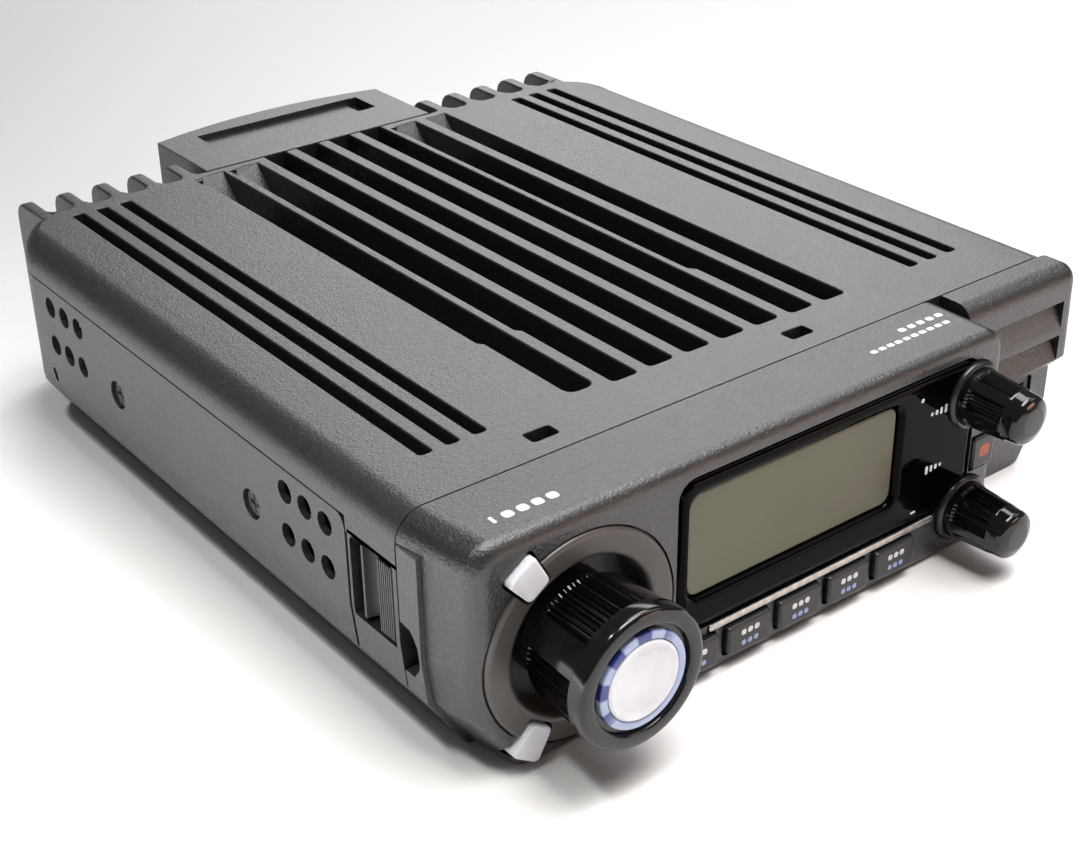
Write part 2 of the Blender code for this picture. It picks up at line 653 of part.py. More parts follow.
def speaker_slots():
    """The row of slots under the speaker, each as long as the cone there."""
    outlines = []
    pitch = 2 * SPEAKER_RADIUS / (SPEAKER_SLOT_COUNT + 1)
    for n in range(SPEAKER_SLOT_COUNT):
        offset = (n - (SPEAKER_SLOT_COUNT - 1) / 2) * pitch
        half = (SPEAKER_RADIUS**2 - offset**2) ** 0.5 - 0.004
        low = (SPEAKER_X + offset - 0.0011, SPEAKER_Y - half)
        high = (SPEAKER_X + offset + 0.0011, SPEAKER_Y + half)
        outlines.append(rounded(rectangle(low, high, 0.00105), 3))
    return slab("speaker_slots", outlines, "Z", -BEYOND, COVER_THICKNESS + 0.0005)


def make_bottom_cover():
    """The U-shaped cover with sloped lower corners, bracket holes and speaker slots."""
    cover = body_prism("bottom_cover", 0, 0, FLANGE_SEAM_Z, COVER_FRONT_Y, REAR_Y, STEEL)
    hollow_top = FLANGE_SEAM_Z + 0.002
    hollow_rear = REAR_Y - COVER_THICKNESS
    hollow = body_prism("cover_hollow", COVER_THICKNESS, 0, hollow_top, COVER_FRONT_Y - BEYOND, hollow_rear)
    combine(cover, hollow)
    fin_edge = max(rear_fin_places()) + REAR_FIN_THICKNESS / 2 + GAP
    open_low = (-fin_edge, REAR_Y - REAR_CORNER_RADIUS, COVER_THICKNESS)
    combine(cover, box("rear_opening", open_low, (fin_edge, REAR_Y + BEYOND, FLANGE_SEAM_Z + BEYOND)))
    corners = rectangle((COVER_FRONT_Y, -BEYOND), (REAR_Y + BEYOND, FLANGE_SEAM_Z + 0.0001))
    corners[3] = (*corners[3][:2], 0.0025)
    profile = slab("cover_profile", [rounded(corners)], "X", -HALF_WIDTH - BEYOND, HALF_WIDTH + BEYOND)
    combine(cover, profile, "INTERSECT")
    for side in (-1, 1):
        combine(cover, bracket_holes(side))
    combine(cover, speaker_slots())
    return cover


def make_side_screws():
    """The four flat-headed screws that hold the cover to the chassis, seated in its holes."""
    seat = HALF_WIDTH - COVER_THICKNESS - GAP
    profile = [
        (0, SCREW_HEAD_HEIGHT),
        (SCREW_HEAD_RADIUS, SCREW_HEAD_HEIGHT),
        (SCREW_HEAD_RADIUS, GAP),
        (SCREW_SHANK_RADIUS, GAP),
        (SCREW_SHANK_RADIUS, -SCREW_LENGTH),
        (0, -SCREW_LENGTH),
    ]
    for side, facing, word in ((-1, "-X", "left"), (1, "X", "right")):
        for y, place in zip(SCREWS_Y, ("front", "rear")):
            name = f"cover_screw_{word}_{place}"
            screw = turned(name, profile, (side * seat, y, SCREW_Z), facing, SCREW_STEEL, 12)
            floor = SCREW_HEAD_HEIGHT - 0.0004
            slot = block_mesh([(Vector((-0.0003, -0.0016, floor)), Vector((0.0003, 0.0016, 0.002)))])
            across = block_mesh([(Vector((-0.0016, -0.0003, floor)), Vector((0.0016, 0.0003, 0.002)))])
            combine(screw, add("screw_slot", slot, screw.location, facing=facing))
            combine(screw, add("screw_slot", across, screw.location, facing=facing))


# ---- Fan and its housing, behind the middle of the plate -------------------------------------
def housing_outline(inset=0.0):
    """The housing seen from above: square at the front, bowed at the rear."""
    half = HOUSING_WIDTH / 2 - inset
    corner_y = HOUSING_END_Y - HOUSING_BOW
    radius = ((HOUSING_WIDTH / 2) ** 2 + HOUSING_BOW**2) / (2 * HOUSING_BOW)
    centre_y = HOUSING_END_Y - radius
    steps = 8
    bow = []
    for n in range(steps + 1):
        x = half - 2 * half * n / steps
        bow.append((x, centre_y + (radius**2 - x**2) ** 0.5 - inset))
    bow[0] = (half, corner_y - inset)
    bow[-1] = (-half, corner_y - inset)
    return [(-half, REAR_Y + GAP), (half, REAR_Y + GAP)] + bow


def make_fan_housing():
    """The moulded duct that takes the fan, with slots in its rear wall and a recess on top."""
    housing = slab("fan_housing", [housing_outline()], "Z", HOUSING_BOTTOM_Z, HOUSING_TOP_Z, HEAD_PLASTIC)
    round_edges(housing, 0.0009)
    room = FAN_SIZE / 2 + GAP
    wall_y = HOUSING_END_Y - HOUSING_BOW - 0.0025
    low = (-room, REAR_Y - BEYOND, FAN_CENTRE_Z - room)
    combine(housing, box("fan_room", low, (room, wall_y, FAN_CENTRE_Z + room)))
    slots = []
    for n in range(5):
        x = (n - 2) * 0.0056
        slots.append(((x - 0.0018, wall_y - 0.001, 0.0065), (x + 0.0018, HOUSING_END_Y + BEYOND, 0.0325)))
    combine(housing, add("housing_slots", block_mesh(slots)))
    recess_low = (-0.019, REAR_Y + 0.011, HOUSING_TOP_Z - 0.0011)
    combine(housing, box("housing_recess", recess_low, (0.019, REAR_Y + 0.0195, HOUSING_TOP_Z + BEYOND)))
    notch_low = (0.0175, REAR_Y + 0.0112, HOUSING_TOP_Z - 0.0022)
    combine(housing, box("housing_notch", notch_low, (0.0205, REAR_Y + 0.0193, HOUSING_TOP_Z + BEYOND)))
    return housing


def make_fan():
    """The square fan frame with its motor mount on three arms, and the rotor in front of it."""
    front = REAR_Y + 0.004
    half = FAN_SIZE / 2
    low = (-half, front, FAN_CENTRE_Z - half)
    frame = box("fan_frame", low, (half, front + FAN_DEPTH, FAN_CENTRE_Z + half), DARK)
    centre = (0, front, FAN_CENTRE_Z)
    combine(frame, rod("fan_bore", FAN_BORE_RADIUS, -BEYOND, FAN_DEPTH + BEYOND, "Y", centre, steps=32))
    mount_from = FAN_DEPTH - 0.0015
    combine(frame, rod("motor_mount", HUB_RADIUS, mount_from, FAN_DEPTH - 0.0002, "Y", centre), "UNION")
    for n in range(3):
        arm_end = Vector((0.001, FAN_BORE_RADIUS + 0.0006, FAN_DEPTH - 0.0003))
        arm = block_mesh([(Vector((-0.001, 0, mount_from + 0.0001)), arm_end)])
        arm.transform(Matrix.Rotation(2 * pi * n / 3 + 0.4, 4, "Z"))
        combine(frame, add("fan_arm", arm, centre, facing="Y"), "UNION")
    hub_end = mount_from - RUNNING_GAP
    rotor = rod("fan_rotor", HUB_RADIUS, 0.0005, hub_end, "Y", centre, DARK)
    for n in range(FAN_BLADES):
        blade_root = Vector((-0.0004, HUB_RADIUS - 0.001, -0.0036))
        blade_tip = Vector((0.0004, FAN_BORE_RADIUS - RUNNING_GAP, 0.0036))
        blade = block_mesh([(blade_root, blade_tip)])
        blade.transform(Matrix.Rotation(0.9, 4, "Y"))
        blade.transform(Matrix.Translation((0, 0, (0.0005 + hub_end) / 2)))
        blade.transform(Matrix.Rotation(2 * pi * n / FAN_BLADES, 4, "Z"))
        combine(rotor, add("fan_blade", blade, centre, facing="Y"), "UNION")


# ---- Inside the main unit --------------------------------------------------------------------
def make_electronics():
    """The main board with its shields, the power module on the sink and the speaker."""
    board_z = 0.014
    top = board_z + BOARD_THICKNESS
    board_front = COVER_FRONT_Y + CASE_WALL + 0.002
    half = HALF_WIDTH - 0.0075
    box("main_board", (-half, board_front, board_z), (half, REAR_Y - 0.021, top), BOARD)
    box("rf_shield", (0.004, -0.036, top + GAP), (0.046, 0.004, top + 0.0085), TIN, 0.0006, 1)
    box("oscillator_shield", (-0.052, -0.038, top + GAP), (-0.020, -0.014, top + 0.007), TIN, 0.0006, 1)
    box("power_module", (-0.034, 0.016, SINK_BASE_Z - 0.0095), (0.030, 0.031, SINK_BASE_Z - GAP), DARK)
    low = COVER_THICKNESS + GAP
    high = low + SPEAKER_HEIGHT
    magnet = 0.45 * SPEAKER_RADIUS
    profile = [
        (0, high),
        (magnet, high),
        (magnet, low + 0.55 * SPEAKER_HEIGHT),
        (0.6 * SPEAKER_RADIUS, low + 0.45 * SPEAKER_HEIGHT),
        (SPEAKER_RADIUS, low + 0.25 * SPEAKER_HEIGHT),
        (SPEAKER_RADIUS, low),
        (0.9 * SPEAKER_RADIUS, low),
        (0.3 * SPEAKER_RADIUS, low + 0.2 * SPEAKER_HEIGHT),
        (0, low + 0.28 * SPEAKER_HEIGHT),
    ]
    turned("speaker", profile, (SPEAKER_X, SPEAKER_Y, 0), "Z", DARK, 20)


# ---- Sockets in the rear wall ----------------------------------------------------------------
def make_sockets():
    """The antenna socket, the power inlet, and the speaker and data jacks."""
    seat = REAR_Y + GAP - COVER_THICKNESS
    half = FLANGE_SIZE / 2
    low = (ANTENNA_X - half, seat, SOCKET_Z - half)
    antenna = box("antenna_socket", low, (ANTENNA_X + half, seat + 0.002, SOCKET_Z + half), NICKEL)
    place = (ANTENNA_X, seat, SOCKET_Z)
    combine(antenna, rod("antenna_barrel", ANTENNA_RADIUS, 0.001, ANTENNA_LENGTH, "Y", place), "UNION")
    body = rod("antenna_body", ANTENNA_RADIUS - 0.002, -0.006, 0.001, "Y", place, steps=16)
    combine(antenna, body, "UNION")
    bore_radius = ANTENNA_RADIUS - 0.0018
    combine(antenna, rod("antenna_bore", bore_radius, 0.005, ANTENNA_LENGTH + BEYOND, "Y", place))
    rod("antenna_contact", 0.0020, 0.005 + GAP, ANTENNA_LENGTH - 0.0055, "Y", place, NICKEL, 16)
    low = (POWER_INLET_X - half, seat, SOCKET_Z - half)
    inlet = box("power_inlet", low, (POWER_INLET_X + half, seat + 0.002, SOCKET_Z + half), DARK)
    body_low = (POWER_INLET_X - 0.0064, seat - 0.006, SOCKET_Z - 0.0045)
    body = box("inlet_body", body_low, (POWER_INLET_X + 0.0064, seat + 0.010, SOCKET_Z + 0.0045))
    combine(inlet, body, "UNION")
    for side in (-1, 1):
        x = POWER_INLET_X + side * 0.0029
        low = (x - 0.0023, seat - 0.004, SOCKET_Z - 0.0032)
        combine(inlet, box("inlet_cavity", low, (x + 0.0023, seat + BEYOND + 0.01, SOCKET_Z + 0.0032)))
    deep = 0.007
    profile = [
        (0, -deep + 0.001),
        (SMALL_JACK_BORE_RADIUS, -deep + 0.001),
        (SMALL_JACK_BORE_RADIUS, 0.0018),
        (SMALL_JACK_RADIUS, 0.0018),
        (SMALL_JACK_RADIUS, -deep),
        (0, -deep),
    ]
    for name, x in small_jack_places().items():
        turned(name, profile, (x, REAR_Y - COVER_THICKNESS, SOCKET_Z), "Y", DARK, 20)


def small_jack_places():
    """The speaker and data jacks sit between the two tall fins on each side."""
    places = sorted(rear_fin_places())
    middle = (places[-1] + places[-2]) / 2
    return {"speaker_jack": -middle, "data_jack": middle}


# ---- Control head: its outlines --------------------------------------------------------------
def head_section(inset=0.0, high=BODY_HEIGHT):
    """The XZ outline of the head: it follows the main unit on the left and stops short on the right."""
    left = HEAD_LEFT_X + inset
    right = HEAD_RIGHT_X - inset
    full = high == BODY_HEIGHT
    corners = [(HEAD_LEFT_X + run, z, 0) for run, z in side_points(inset, inset)]
    corners += [
        (left, high - inset, max(TOP_RADIUS - inset, 0.001) if full else 0.0005),
        (right, high - inset, max(HEAD_TOP_RADIUS - inset, 0.001) if full else 0.0005),
        (right, inset, max(HEAD_TOP_RADIUS - inset, 0.001)),
    ]
    return rounded(corners[::-1])


def head_plan():
    """The XY outline of the head: its left side tapers in towards the face."""
    corners = [
        (HEAD_LEFT_X, SEAM_Y + BEYOND, 0),
        (HEAD_LEFT_X, SEAM_Y - REAR_CASE_DEPTH, 0),
        (HEAD_LEFT_X + SIDE_TAPER, FACE_Y, FRONT_EDGE_RADIUS),
        (HEAD_RIGHT_X, FACE_Y, FRONT_EDGE_RADIUS),
        (HEAD_RIGHT_X, SEAM_Y + BEYOND, 0),
    ]
    return rounded(corners)


def head_profile():
    """The YZ outline of the head, with its rounded front edges."""
    corners = [
        (FACE_Y, 0, FRONT_EDGE_RADIUS / 2),
        (SEAM_Y + BEYOND, 0, 0),
        (SEAM_Y + BEYOND, BODY_HEIGHT, 0),
        (FACE_Y, BODY_HEIGHT, FRONT_EDGE_RADIUS),
    ]
    return rounded(corners)


def key_middles():
    """The X places of the row of keys under the display."""
    return [KEY_LAST_X - n * KEY_PITCH for n in reversed(range(KEY_COUNT))]


def corner_key_outline(sign, grow=0.0):
    """A corner key seen from the front: a tapered block pointing away from the dial."""
    angle = sign * CORNER_KEY_ANGLE
    out = Vector((cos(angle), sin(angle)))
    across = Vector((-out.y, out.x))
    centre = Vector((DIAL_X, DIAL_Z)) + out * CORNER_KEY_PLACE
    length = CORNER_KEY_SIZE[0] / 2 + grow
    wide = CORNER_KEY_SIZE[1] / 2 + grow
    narrow = wide * 0.72
    corners = []
    for along, over in ((-length, -wide), (length, -narrow), (length, narrow), (-length, wide)):
        corner = centre + out * along + across * over
        corners.append((corner.x, corner.y, 0.0007))
    return rounded(corners, 2)


def bezel_outline(grow=0.0):
    """The outer edge of the glossy display surround."""
    low = (BEZEL_X[0] - grow, BEZEL_Z[0] - grow)
    high = (BEZEL_X[1] + grow, BEZEL_Z[1] + grow)
    return rounded(rectangle(low, high, BEZEL_RADIUS + grow))


def collar_cutters(name, radius, low, high):
    """Discs about the dial and both small knobs, as one cutter."""
    outlines = [circle((KNOB_X, z), radius, 32) for z in KNOBS_Z.values()]
    return slab(name, outlines, "Y", low, high)


def ring_cutter(name, radius, low, high):
    """A disc about the dial's axis."""
    return slab(name, [circle((DIAL_X, DIAL_Z), radius, 48)], "Y", low, high)


# ---- Head cases ------------------------------------------------------------------------------
def make_head_case():
    """The moulded front case: the face with its openings, and the lip that reaches back to the seam."""
    case = slab("head_case", [head_section()], "Y", FACE_Y, SEAM_Y - GAP, HEAD_PLASTIC)
    combine(case, slab("head_plan", [head_plan()], "Z", -BEYOND, BODY_HEIGHT + BEYOND), "INTERSECT")
    span = (HEAD_LEFT_X - BEYOND, HEAD_RIGHT_X + BEYOND)
    combine(case, slab("head_profile", [head_profile()], "X", *span), "INTERSECT")
    inside = head_section(CASE_WALL + SIDE_TAPER / 2)
    inner = slab("head_hollow", [inside], "Y", FACE_Y + FACE_WALL, SEAM_Y + BEYOND)
    combine(case, inner)
    strip_y = SEAM_Y - REAR_CASE_DEPTH
    strip = box("strip_cutter", (span[0], strip_y, -BEYOND), (span[1], SEAM_Y + BEYOND, HEAD_LIP_Z))
    combine(case, strip)
    bezel_seat = FACE_Y + BEZEL_THICKNESS - BEZEL_STANDS + GAP
    combine(case, slab("bezel_pocket", [bezel_outline(GAP)], "Y", FACE_Y - BEYOND, bezel_seat))
    wall_end = FACE_Y + FACE_WALL + 0.001
    high = (SCREEN_X[1] + 0.001, SCREEN_Z[1] + 0.001)
    screen = rectangle((SCREEN_X[0] - 0.001, SCREEN_Z[0] - 0.001), high)
    combine(case, slab("screen_opening", [rounded(screen)], "Y", FACE_Y - BEYOND, wall_end))
    combine(case, ring_cutter("ring_pocket", RING_RADIUS + GAP, FACE_Y - BEYOND, FACE_Y + 0.0015))
    combine(case, ring_cutter("dial_opening", RING_BORE_RADIUS - 0.0012, FACE_Y, wall_end))
    combine(case, collar_cutters("collar_pocket", COLLAR_RADIUS + GAP, FACE_Y - BEYOND, FACE_Y + 0.0012))
    shaft_radius = KNOB_SHAFT_RADIUS + RUNNING_GAP
    combine(case, collar_cutters("shaft_holes", shaft_radius, FACE_Y, wall_end))
    holes = []
    for x in key_middles():
        half = KEY_WIDTH / 2 + RUNNING_GAP
        high = (x + half - 0.001, KEY_Z[1] - 0.0008)
        holes.append(rectangle((x - half + 0.001, KEY_Z[0] + 0.0008), high))
    cut = slab("key_holes", [rounded(hole) for hole in holes], "Y", FACE_Y - BEYOND, KEY_HOLE_END_Y)
    combine(case, cut)
    for sign in (-1, 1):
        hole = corner_key_outline(sign, RUNNING_GAP)
        combine(case, slab("corner_key_hole", [hole], "Y", FACE_Y - BEYOND, KEY_HOLE_END_Y))
    strip_hole = rectangle((STRIP_X[0] - GAP, STRIP_Z[0] - GAP), (STRIP_X[1] + GAP, STRIP_Z[1] + GAP))
    combine(case, slab("strip_pocket", [rounded(strip_hole)], "Y", FACE_Y - BEYOND, FACE_Y + 0.0008))
    low = (HEAD_RIGHT_X - POWER_KEY_WIDTH - RUNNING_GAP, FACE_Y - BEYOND, POWER_KEY_Z[0] - RUNNING_GAP)
    high = (HEAD_RIGHT_X + BEYOND, FACE_Y + FACE_WALL + 0.002, POWER_KEY_Z[1] + RUNNING_GAP)
    combine(case, box("power_key_hole", low, high))
    return case


def make_rear_case():
    """The head's rear case: a tray whose rim shows as the plain strip beside the seam."""
    front = SEAM_Y - REAR_CASE_DEPTH + GAP
    high = HEAD_LIP_Z - GAP
    case = slab("head_rear_case", [head_section(0, high)], "Y", front, SEAM_Y - GAP, HEAD_PLASTIC)
    back = SEAM_Y - GAP - CASE_WALL
    inner = slab("rear_case_hollow", [head_section(CASE_WALL, high)], "Y", front - BEYOND, back)
    combine(case, inner)
    notch_front = SEAM_Y - REAR_CASE_DEPTH + 0.0008
    notch = rounded(rectangle((notch_front, 0.0140), (SEAM_Y + BEYOND, 0.0226), 0.0038))
    low = HEAD_LEFT_X - BEYOND
    combine(case, slab("notch_cutter", [notch], "X", low, HEAD_LEFT_X + CASE_WALL + 0.002))
    half = PLUG_SIZE[0] / 2 + GAP
    plug_low = (PLUG_X - half, SEAM_Y - BEYOND, PLUG_Z - PLUG_SIZE[1] / 2 - GAP)
    plug_high = (PLUG_X + half, SEAM_Y + BEYOND, PLUG_Z + PLUG_SIZE[1] / 2 + GAP)
    combine(case, box("plug_hole", plug_low, plug_high))
    return case


def make_head_inside():
    """The head's board, the plug on its back and the parts behind the controls."""
    back = SEAM_Y - GAP - CASE_WALL - 0.0012
    front = back - BOARD_THICKNESS
    low = (HEAD_LEFT_X + 0.012, front, 0.0045)
    box("head_board", low, (HEAD_RIGHT_X - 0.0045, back, HEAD_LIP_Z - 0.0045), BOARD)
    plug_low = (PLUG_X - PLUG_SIZE[0] / 2, back + GAP, PLUG_Z - PLUG_SIZE[1] / 2)
    box("head_plug", plug_low, (PLUG_X + PLUG_SIZE[0] / 2, SEAM_Y + 0.003, PLUG_Z + PLUG_SIZE[1] / 2), DARK)
    outer = (PLUG_SIZE[0] / 2 + RUNNING_GAP + SOCKET_WALL, PLUG_SIZE[1] / 2 + RUNNING_GAP + SOCKET_WALL)
    inner = (PLUG_SIZE[0] / 2 + RUNNING_GAP, PLUG_SIZE[1] / 2 + RUNNING_GAP)
    low = (PLUG_X - outer[0], SEAM_Y + GAP, PLUG_Z - outer[1])
    socket = box("head_socket", low, (PLUG_X + outer[0], SEAM_Y + 0.006, PLUG_Z + outer[1]), DARK)
    low = (PLUG_X - inner[0], SEAM_Y - BEYOND, PLUG_Z - inner[1])
    combine(socket, box("socket_cavity", low, (PLUG_X + inner[0], SEAM_Y + 0.0045, PLUG_Z + inner[1])))
    for name, z in KNOBS_Z.items():
        rear = front - GAP
        half = (POT_SIZE[0] / 2, POT_SIZE[2] / 2)
        low = (KNOB_X - half[0], rear - POT_SIZE[1], z - half[1])
        case = box(f"{name}_pot", low, (KNOB_X + half[0], rear, z + half[1]), TIN)
        round_edges(case, 0.0004, 1)
    encoder_front = FACE_Y + FACE_WALL + RUNNING_GAP
    place = (DIAL_X, front - GAP, DIAL_Z)
    rod("dial_encoder", RING_BORE_RADIUS - 0.004, 0, front - GAP - encoder_front, "-Y", place, TIN)


# ---- Display ---------------------------------------------------------------------------------
def make_display():
    """The glossy surround, the clear window, the LCD with its light guide, and the silver strip."""
    front = FACE_Y - BEZEL_STANDS
    seat = front + BEZEL_THICKNESS
    bezel = slab("display_bezel", [bezel_outline()], "Y", front, seat, GLOSS)
    combine(bezel, ring_cutter("bezel_ring_gap", RING_RADIUS + 2 * GAP, front - BEYOND, seat + BEYOND))
    gap_radius = COLLAR_RADIUS + 2 * GAP
    combine(bezel, collar_cutters("bezel_collar_gap", gap_radius, front - BEYOND, seat + BEYOND))
    opening = rounded(rectangle((SCREEN_X[0], SCREEN_Z[0]), (SCREEN_X[1], SCREEN_Z[1]), SCREEN_RADIUS), 3)
    combine(bezel, slab("bezel_opening", [opening], "Y", front - BEYOND, seat + BEYOND))
    inset = GAP
    low = (SCREEN_X[0] + inset, SCREEN_Z[0] + inset)
    high = (SCREEN_X[1] - inset, SCREEN_Z[1] - inset)
    window_front = front + 0.0003
    outline = rounded(rectangle(low, high, SCREEN_RADIUS), 3)
    slab("lcd_window", [outline], "Y", window_front, window_front + LENS_THICKNESS, LENS)
    lcd_front = FACE_Y + FACE_WALL + GAP
    margin = 0.0009
    low = (SCREEN_X[0] - margin, lcd_front, SCREEN_Z[0] - margin)
    high = (SCREEN_X[1] + margin, lcd_front + LCD_THICKNESS, SCREEN_Z[1] + margin)
    box("lcd_panel", low, high, LCD)
    low = (low[0], high[1] + GAP, low[2])
    box("light_guide", low, (high[0], low[1] + 0.0016, high[2]), WHITE)
    low = (STRIP_X[0], FACE_Y - BEZEL_STANDS, STRIP_Z[0])
    box("trim_strip", low, (STRIP_X[1], FACE_Y + 0.0005, STRIP_Z[1]), SILVER)


# ---- Dial, its ring and the button in its middle ---------------------------------------------
def make_dial():
    """The tuning dial on its encoder, with a push button in the middle that doesn't turn."""
    ring_front = FACE_Y - RING_STANDS
    seat = FACE_Y + 0.0015 - GAP
    circles = [circle((DIAL_X, DIAL_Z), radius, 48) for radius in (RING_RADIUS, RING_BORE_RADIUS)]
    ring = slab("dial_ring", circles, "Y", ring_front, seat, HEAD_PLASTIC)
    for sign in (-1, 1):
        outline = corner_key_outline(sign, RUNNING_GAP)
        combine(ring, slab("ring_key_gap", [outline], "Y", ring_front - BEYOND, seat + BEYOND))
    place = (DIAL_X, FACE_Y, DIAL_Z)
    rim = 0.0030
    button_room = DIAL_BUTTON_RADIUS + RUNNING_GAP
    button_depth = 0.0024
    profile = [
        (0, DIAL_LENGTH - button_depth),
        (button_room, DIAL_LENGTH - button_depth),
        (button_room, DIAL_LENGTH - 0.0006),
        (button_room + 0.0006, DIAL_LENGTH),
        (DIAL_RADIUS - 0.0010, DIAL_LENGTH),
        (DIAL_RADIUS, DIAL_LENGTH - 0.0012),
        (DIAL_RADIUS, DIAL_LENGTH - rim),
        (DIAL_WAIST_RADIUS, DIAL_LENGTH - rim - 0.0006),
        (DIAL_RADIUS - 0.0002, 0.0016),
        (DIAL_RADIUS - 0.0006, 0.0008),
        (2 * KNOB_SHAFT_RADIUS, 0.0008),
        (2 * KNOB_SHAFT_RADIUS, -FACE_WALL),
        (0, -FACE_WALL),
    ]
    turned("dial_knob", profile, place, "-Y", KNOB, 36)
    floor = DIAL_LENGTH - button_depth + DIAL_BUTTON_TRAVEL + GAP
    profile = [
        (0, DIAL_LENGTH + 0.0002),
        (DIAL_BUTTON_RADIUS - 0.0012, DIAL_LENGTH),
        (DIAL_BUTTON_RADIUS, DIAL_LENGTH - 0.0008),
        (DIAL_BUTTON_RADIUS, floor),
        (0, floor),
    ]
    turned("dial_button", profile, place, "-Y", WHITE, 32)


# ---- Keys ------------------------------------------------------------------------------------
def make_keys():
    """The five keys under the display, the two white keys by the dial and the power key."""
    for number, x in enumerate(key_middles(), 1):
        low = (x - KEY_WIDTH / 2, FACE_Y - KEY_STANDS, KEY_Z[0])
        high = (x + KEY_WIDTH / 2, FACE_Y - KEY_TRAVEL - GAP / 2, KEY_Z[1])
        cap = box(f"front_key_{number}", low, high, KEYCAP)
        stem_low = (x - KEY_WIDTH / 2 + 0.0018, FACE_Y - KEY_TRAVEL - 0.0004, KEY_Z[0] + 0.0018)
        stem = box("key_stem", stem_low, (x + KEY_WIDTH / 2 - 0.0018, STEM_END_Y, KEY_Z[1] - 0.0018))
        combine(cap, stem, "UNION")
    for sign, name in ((1, "upper_key"), (-1, "lower_key")):
        outline = corner_key_outline(sign)
        slab(name, [outline], "Y", FACE_Y - KEY_STANDS, STEM_END_Y, WHITE, (DIAL_X, FACE_Y, DIAL_Z))
    low = (HEAD_RIGHT_X - POWER_KEY_WIDTH, FACE_Y - 0.0005, POWER_KEY_Z[0])
    high = (HEAD_RIGHT_X - 0.0003, STEM_END_Y, POWER_KEY_Z[1])
    box("power_key", low, high, KEYCAP, 0.0004, 2)


# ---- Small knobs -----------------------------------------------------------------------------
def make_small_knobs():
    """The volume and squelch knobs, each on its own collar."""
    for name, z in KNOBS_Z.items():
        place = (KNOB_X, FACE_Y, z)
        seat = -0.0012 + GAP
        bore = KNOB_SHAFT_RADIUS + RUNNING_GAP
        profile = [
            (bore, COLLAR_STANDS - 0.0003),
            (COLLAR_RADIUS - 0.0012, COLLAR_STANDS - 0.0003),
            (COLLAR_RADIUS - 0.0008, COLLAR_STANDS),
            (COLLAR_RADIUS - 0.0004, COLLAR_STANDS),
            (COLLAR_RADIUS, COLLAR_STANDS - 0.0006),
            (COLLAR_RADIUS, seat),
            (bore, seat),
            (bore, COLLAR_STANDS - 0.0003),
        ]
        turned(f"{name}_collar", profile, place, "-Y", HEAD_PLASTIC, 24)
        base = COLLAR_STANDS + 0.0004
        end = base + KNOB_LENGTH
        profile = [
            (0, end),
            (KNOB_TIP_RADIUS - 0.0010, end),
            (KNOB_TIP_RADIUS, end - 0.0010),
            (KNOB_BASE_RADIUS - 0.0003, base + 0.0026),
            (KNOB_BASE_RADIUS, base + 0.0020),
            (KNOB_BASE_RADIUS, base),
            (KNOB_SHAFT_RADIUS, base),
            (KNOB_SHAFT_RADIUS, -FACE_WALL - 0.0012),
            (0, -FACE_WALL - 0.0012),
        ]
        turned(f"{name}_knob", profile, place, "-Y", KNOB, 24)


# ---- Corner block beside the head, with the microphone jack ----------------------------------
def make_corner_block():
    """The louvred moulding on the main unit, stepped back below, and the jack in its lower half."""
    rear = SEAM_Y - GAP
    front = SEAM_Y - BLOCK_DEPTH
    step_y = front + BLOCK_STEP
    profile = [
        (front, BLOCK_STEP_Z, 0),
        (step_y, BLOCK_STEP_Z - BLOCK_STEP, 0),
        (step_y, 0, 0),
        (rear, 0, 0),
        (rear, BODY_HEIGHT, 0),
        (front, BODY_HEIGHT, BLOCK_TOP_RADIUS),
    ]
    left = HEAD_RIGHT_X + BLOCK_GAP
    block = slab("corner_block", [rounded(profile)], "X", left, HALF_WIDTH + BEYOND, HEAD_PLASTIC)
    section = slab("corner_section", [body_section()], "Y", front - BEYOND, rear + BEYOND)
    combine(block, section, "INTERSECT")
    plan = rounded(
        [
            (left - BEYOND, front, 0),
            (HALF_WIDTH, front, 0.003),
            (HALF_WIDTH, rear + BEYOND, 0),
            (left - BEYOND, rear + BEYOND, 0),
        ]
    )
    combine(block, slab("corner_plan", [plan], "Z", -BEYOND, BODY_HEIGHT + BEYOND), "INTERSECT")
    for n in range(2):
        top = LOUVRE_TOP_Z - n * LOUVRE_PITCH
        foot = top - LOUVRE_HEIGHT
        louvre = [(front - BEYOND, top), (front - BEYOND, foot), (front, foot), (front + LOUVRE_DEPTH, top)]
        combine(block, slab("louvre", [louvre], "X", left + 0.002, HALF_WIDTH - 0.0055))
    low = (JACK_X - JACK_WIDTH / 2, front - BEYOND, JACK_Z[0])
    combine(block, box("jack_opening", low, (JACK_X + JACK_WIDTH / 2, rear + BEYOND, JACK_Z[1])))
    gap = GAP
    low = (JACK_X - JACK_WIDTH / 2 + gap, step_y + 0.0004, JACK_Z[0] + gap)
    high = (JACK_X + JACK_WIDTH / 2 - gap, step_y + JACK_DEPTH, JACK_Z[1] - gap)
    jack = box("mic_jack", low, high, DARK)
    cavity_low = (low[0] + 0.0012, low[1] - BEYOND, low[2] + 0.0012)
    cavity_high = (high[0] - 0.0012, high[1] - 0.0008, high[2] - 0.0012)
    combine(jack, box("mic_jack_cavity", cavity_low, cavity_high))
    return block


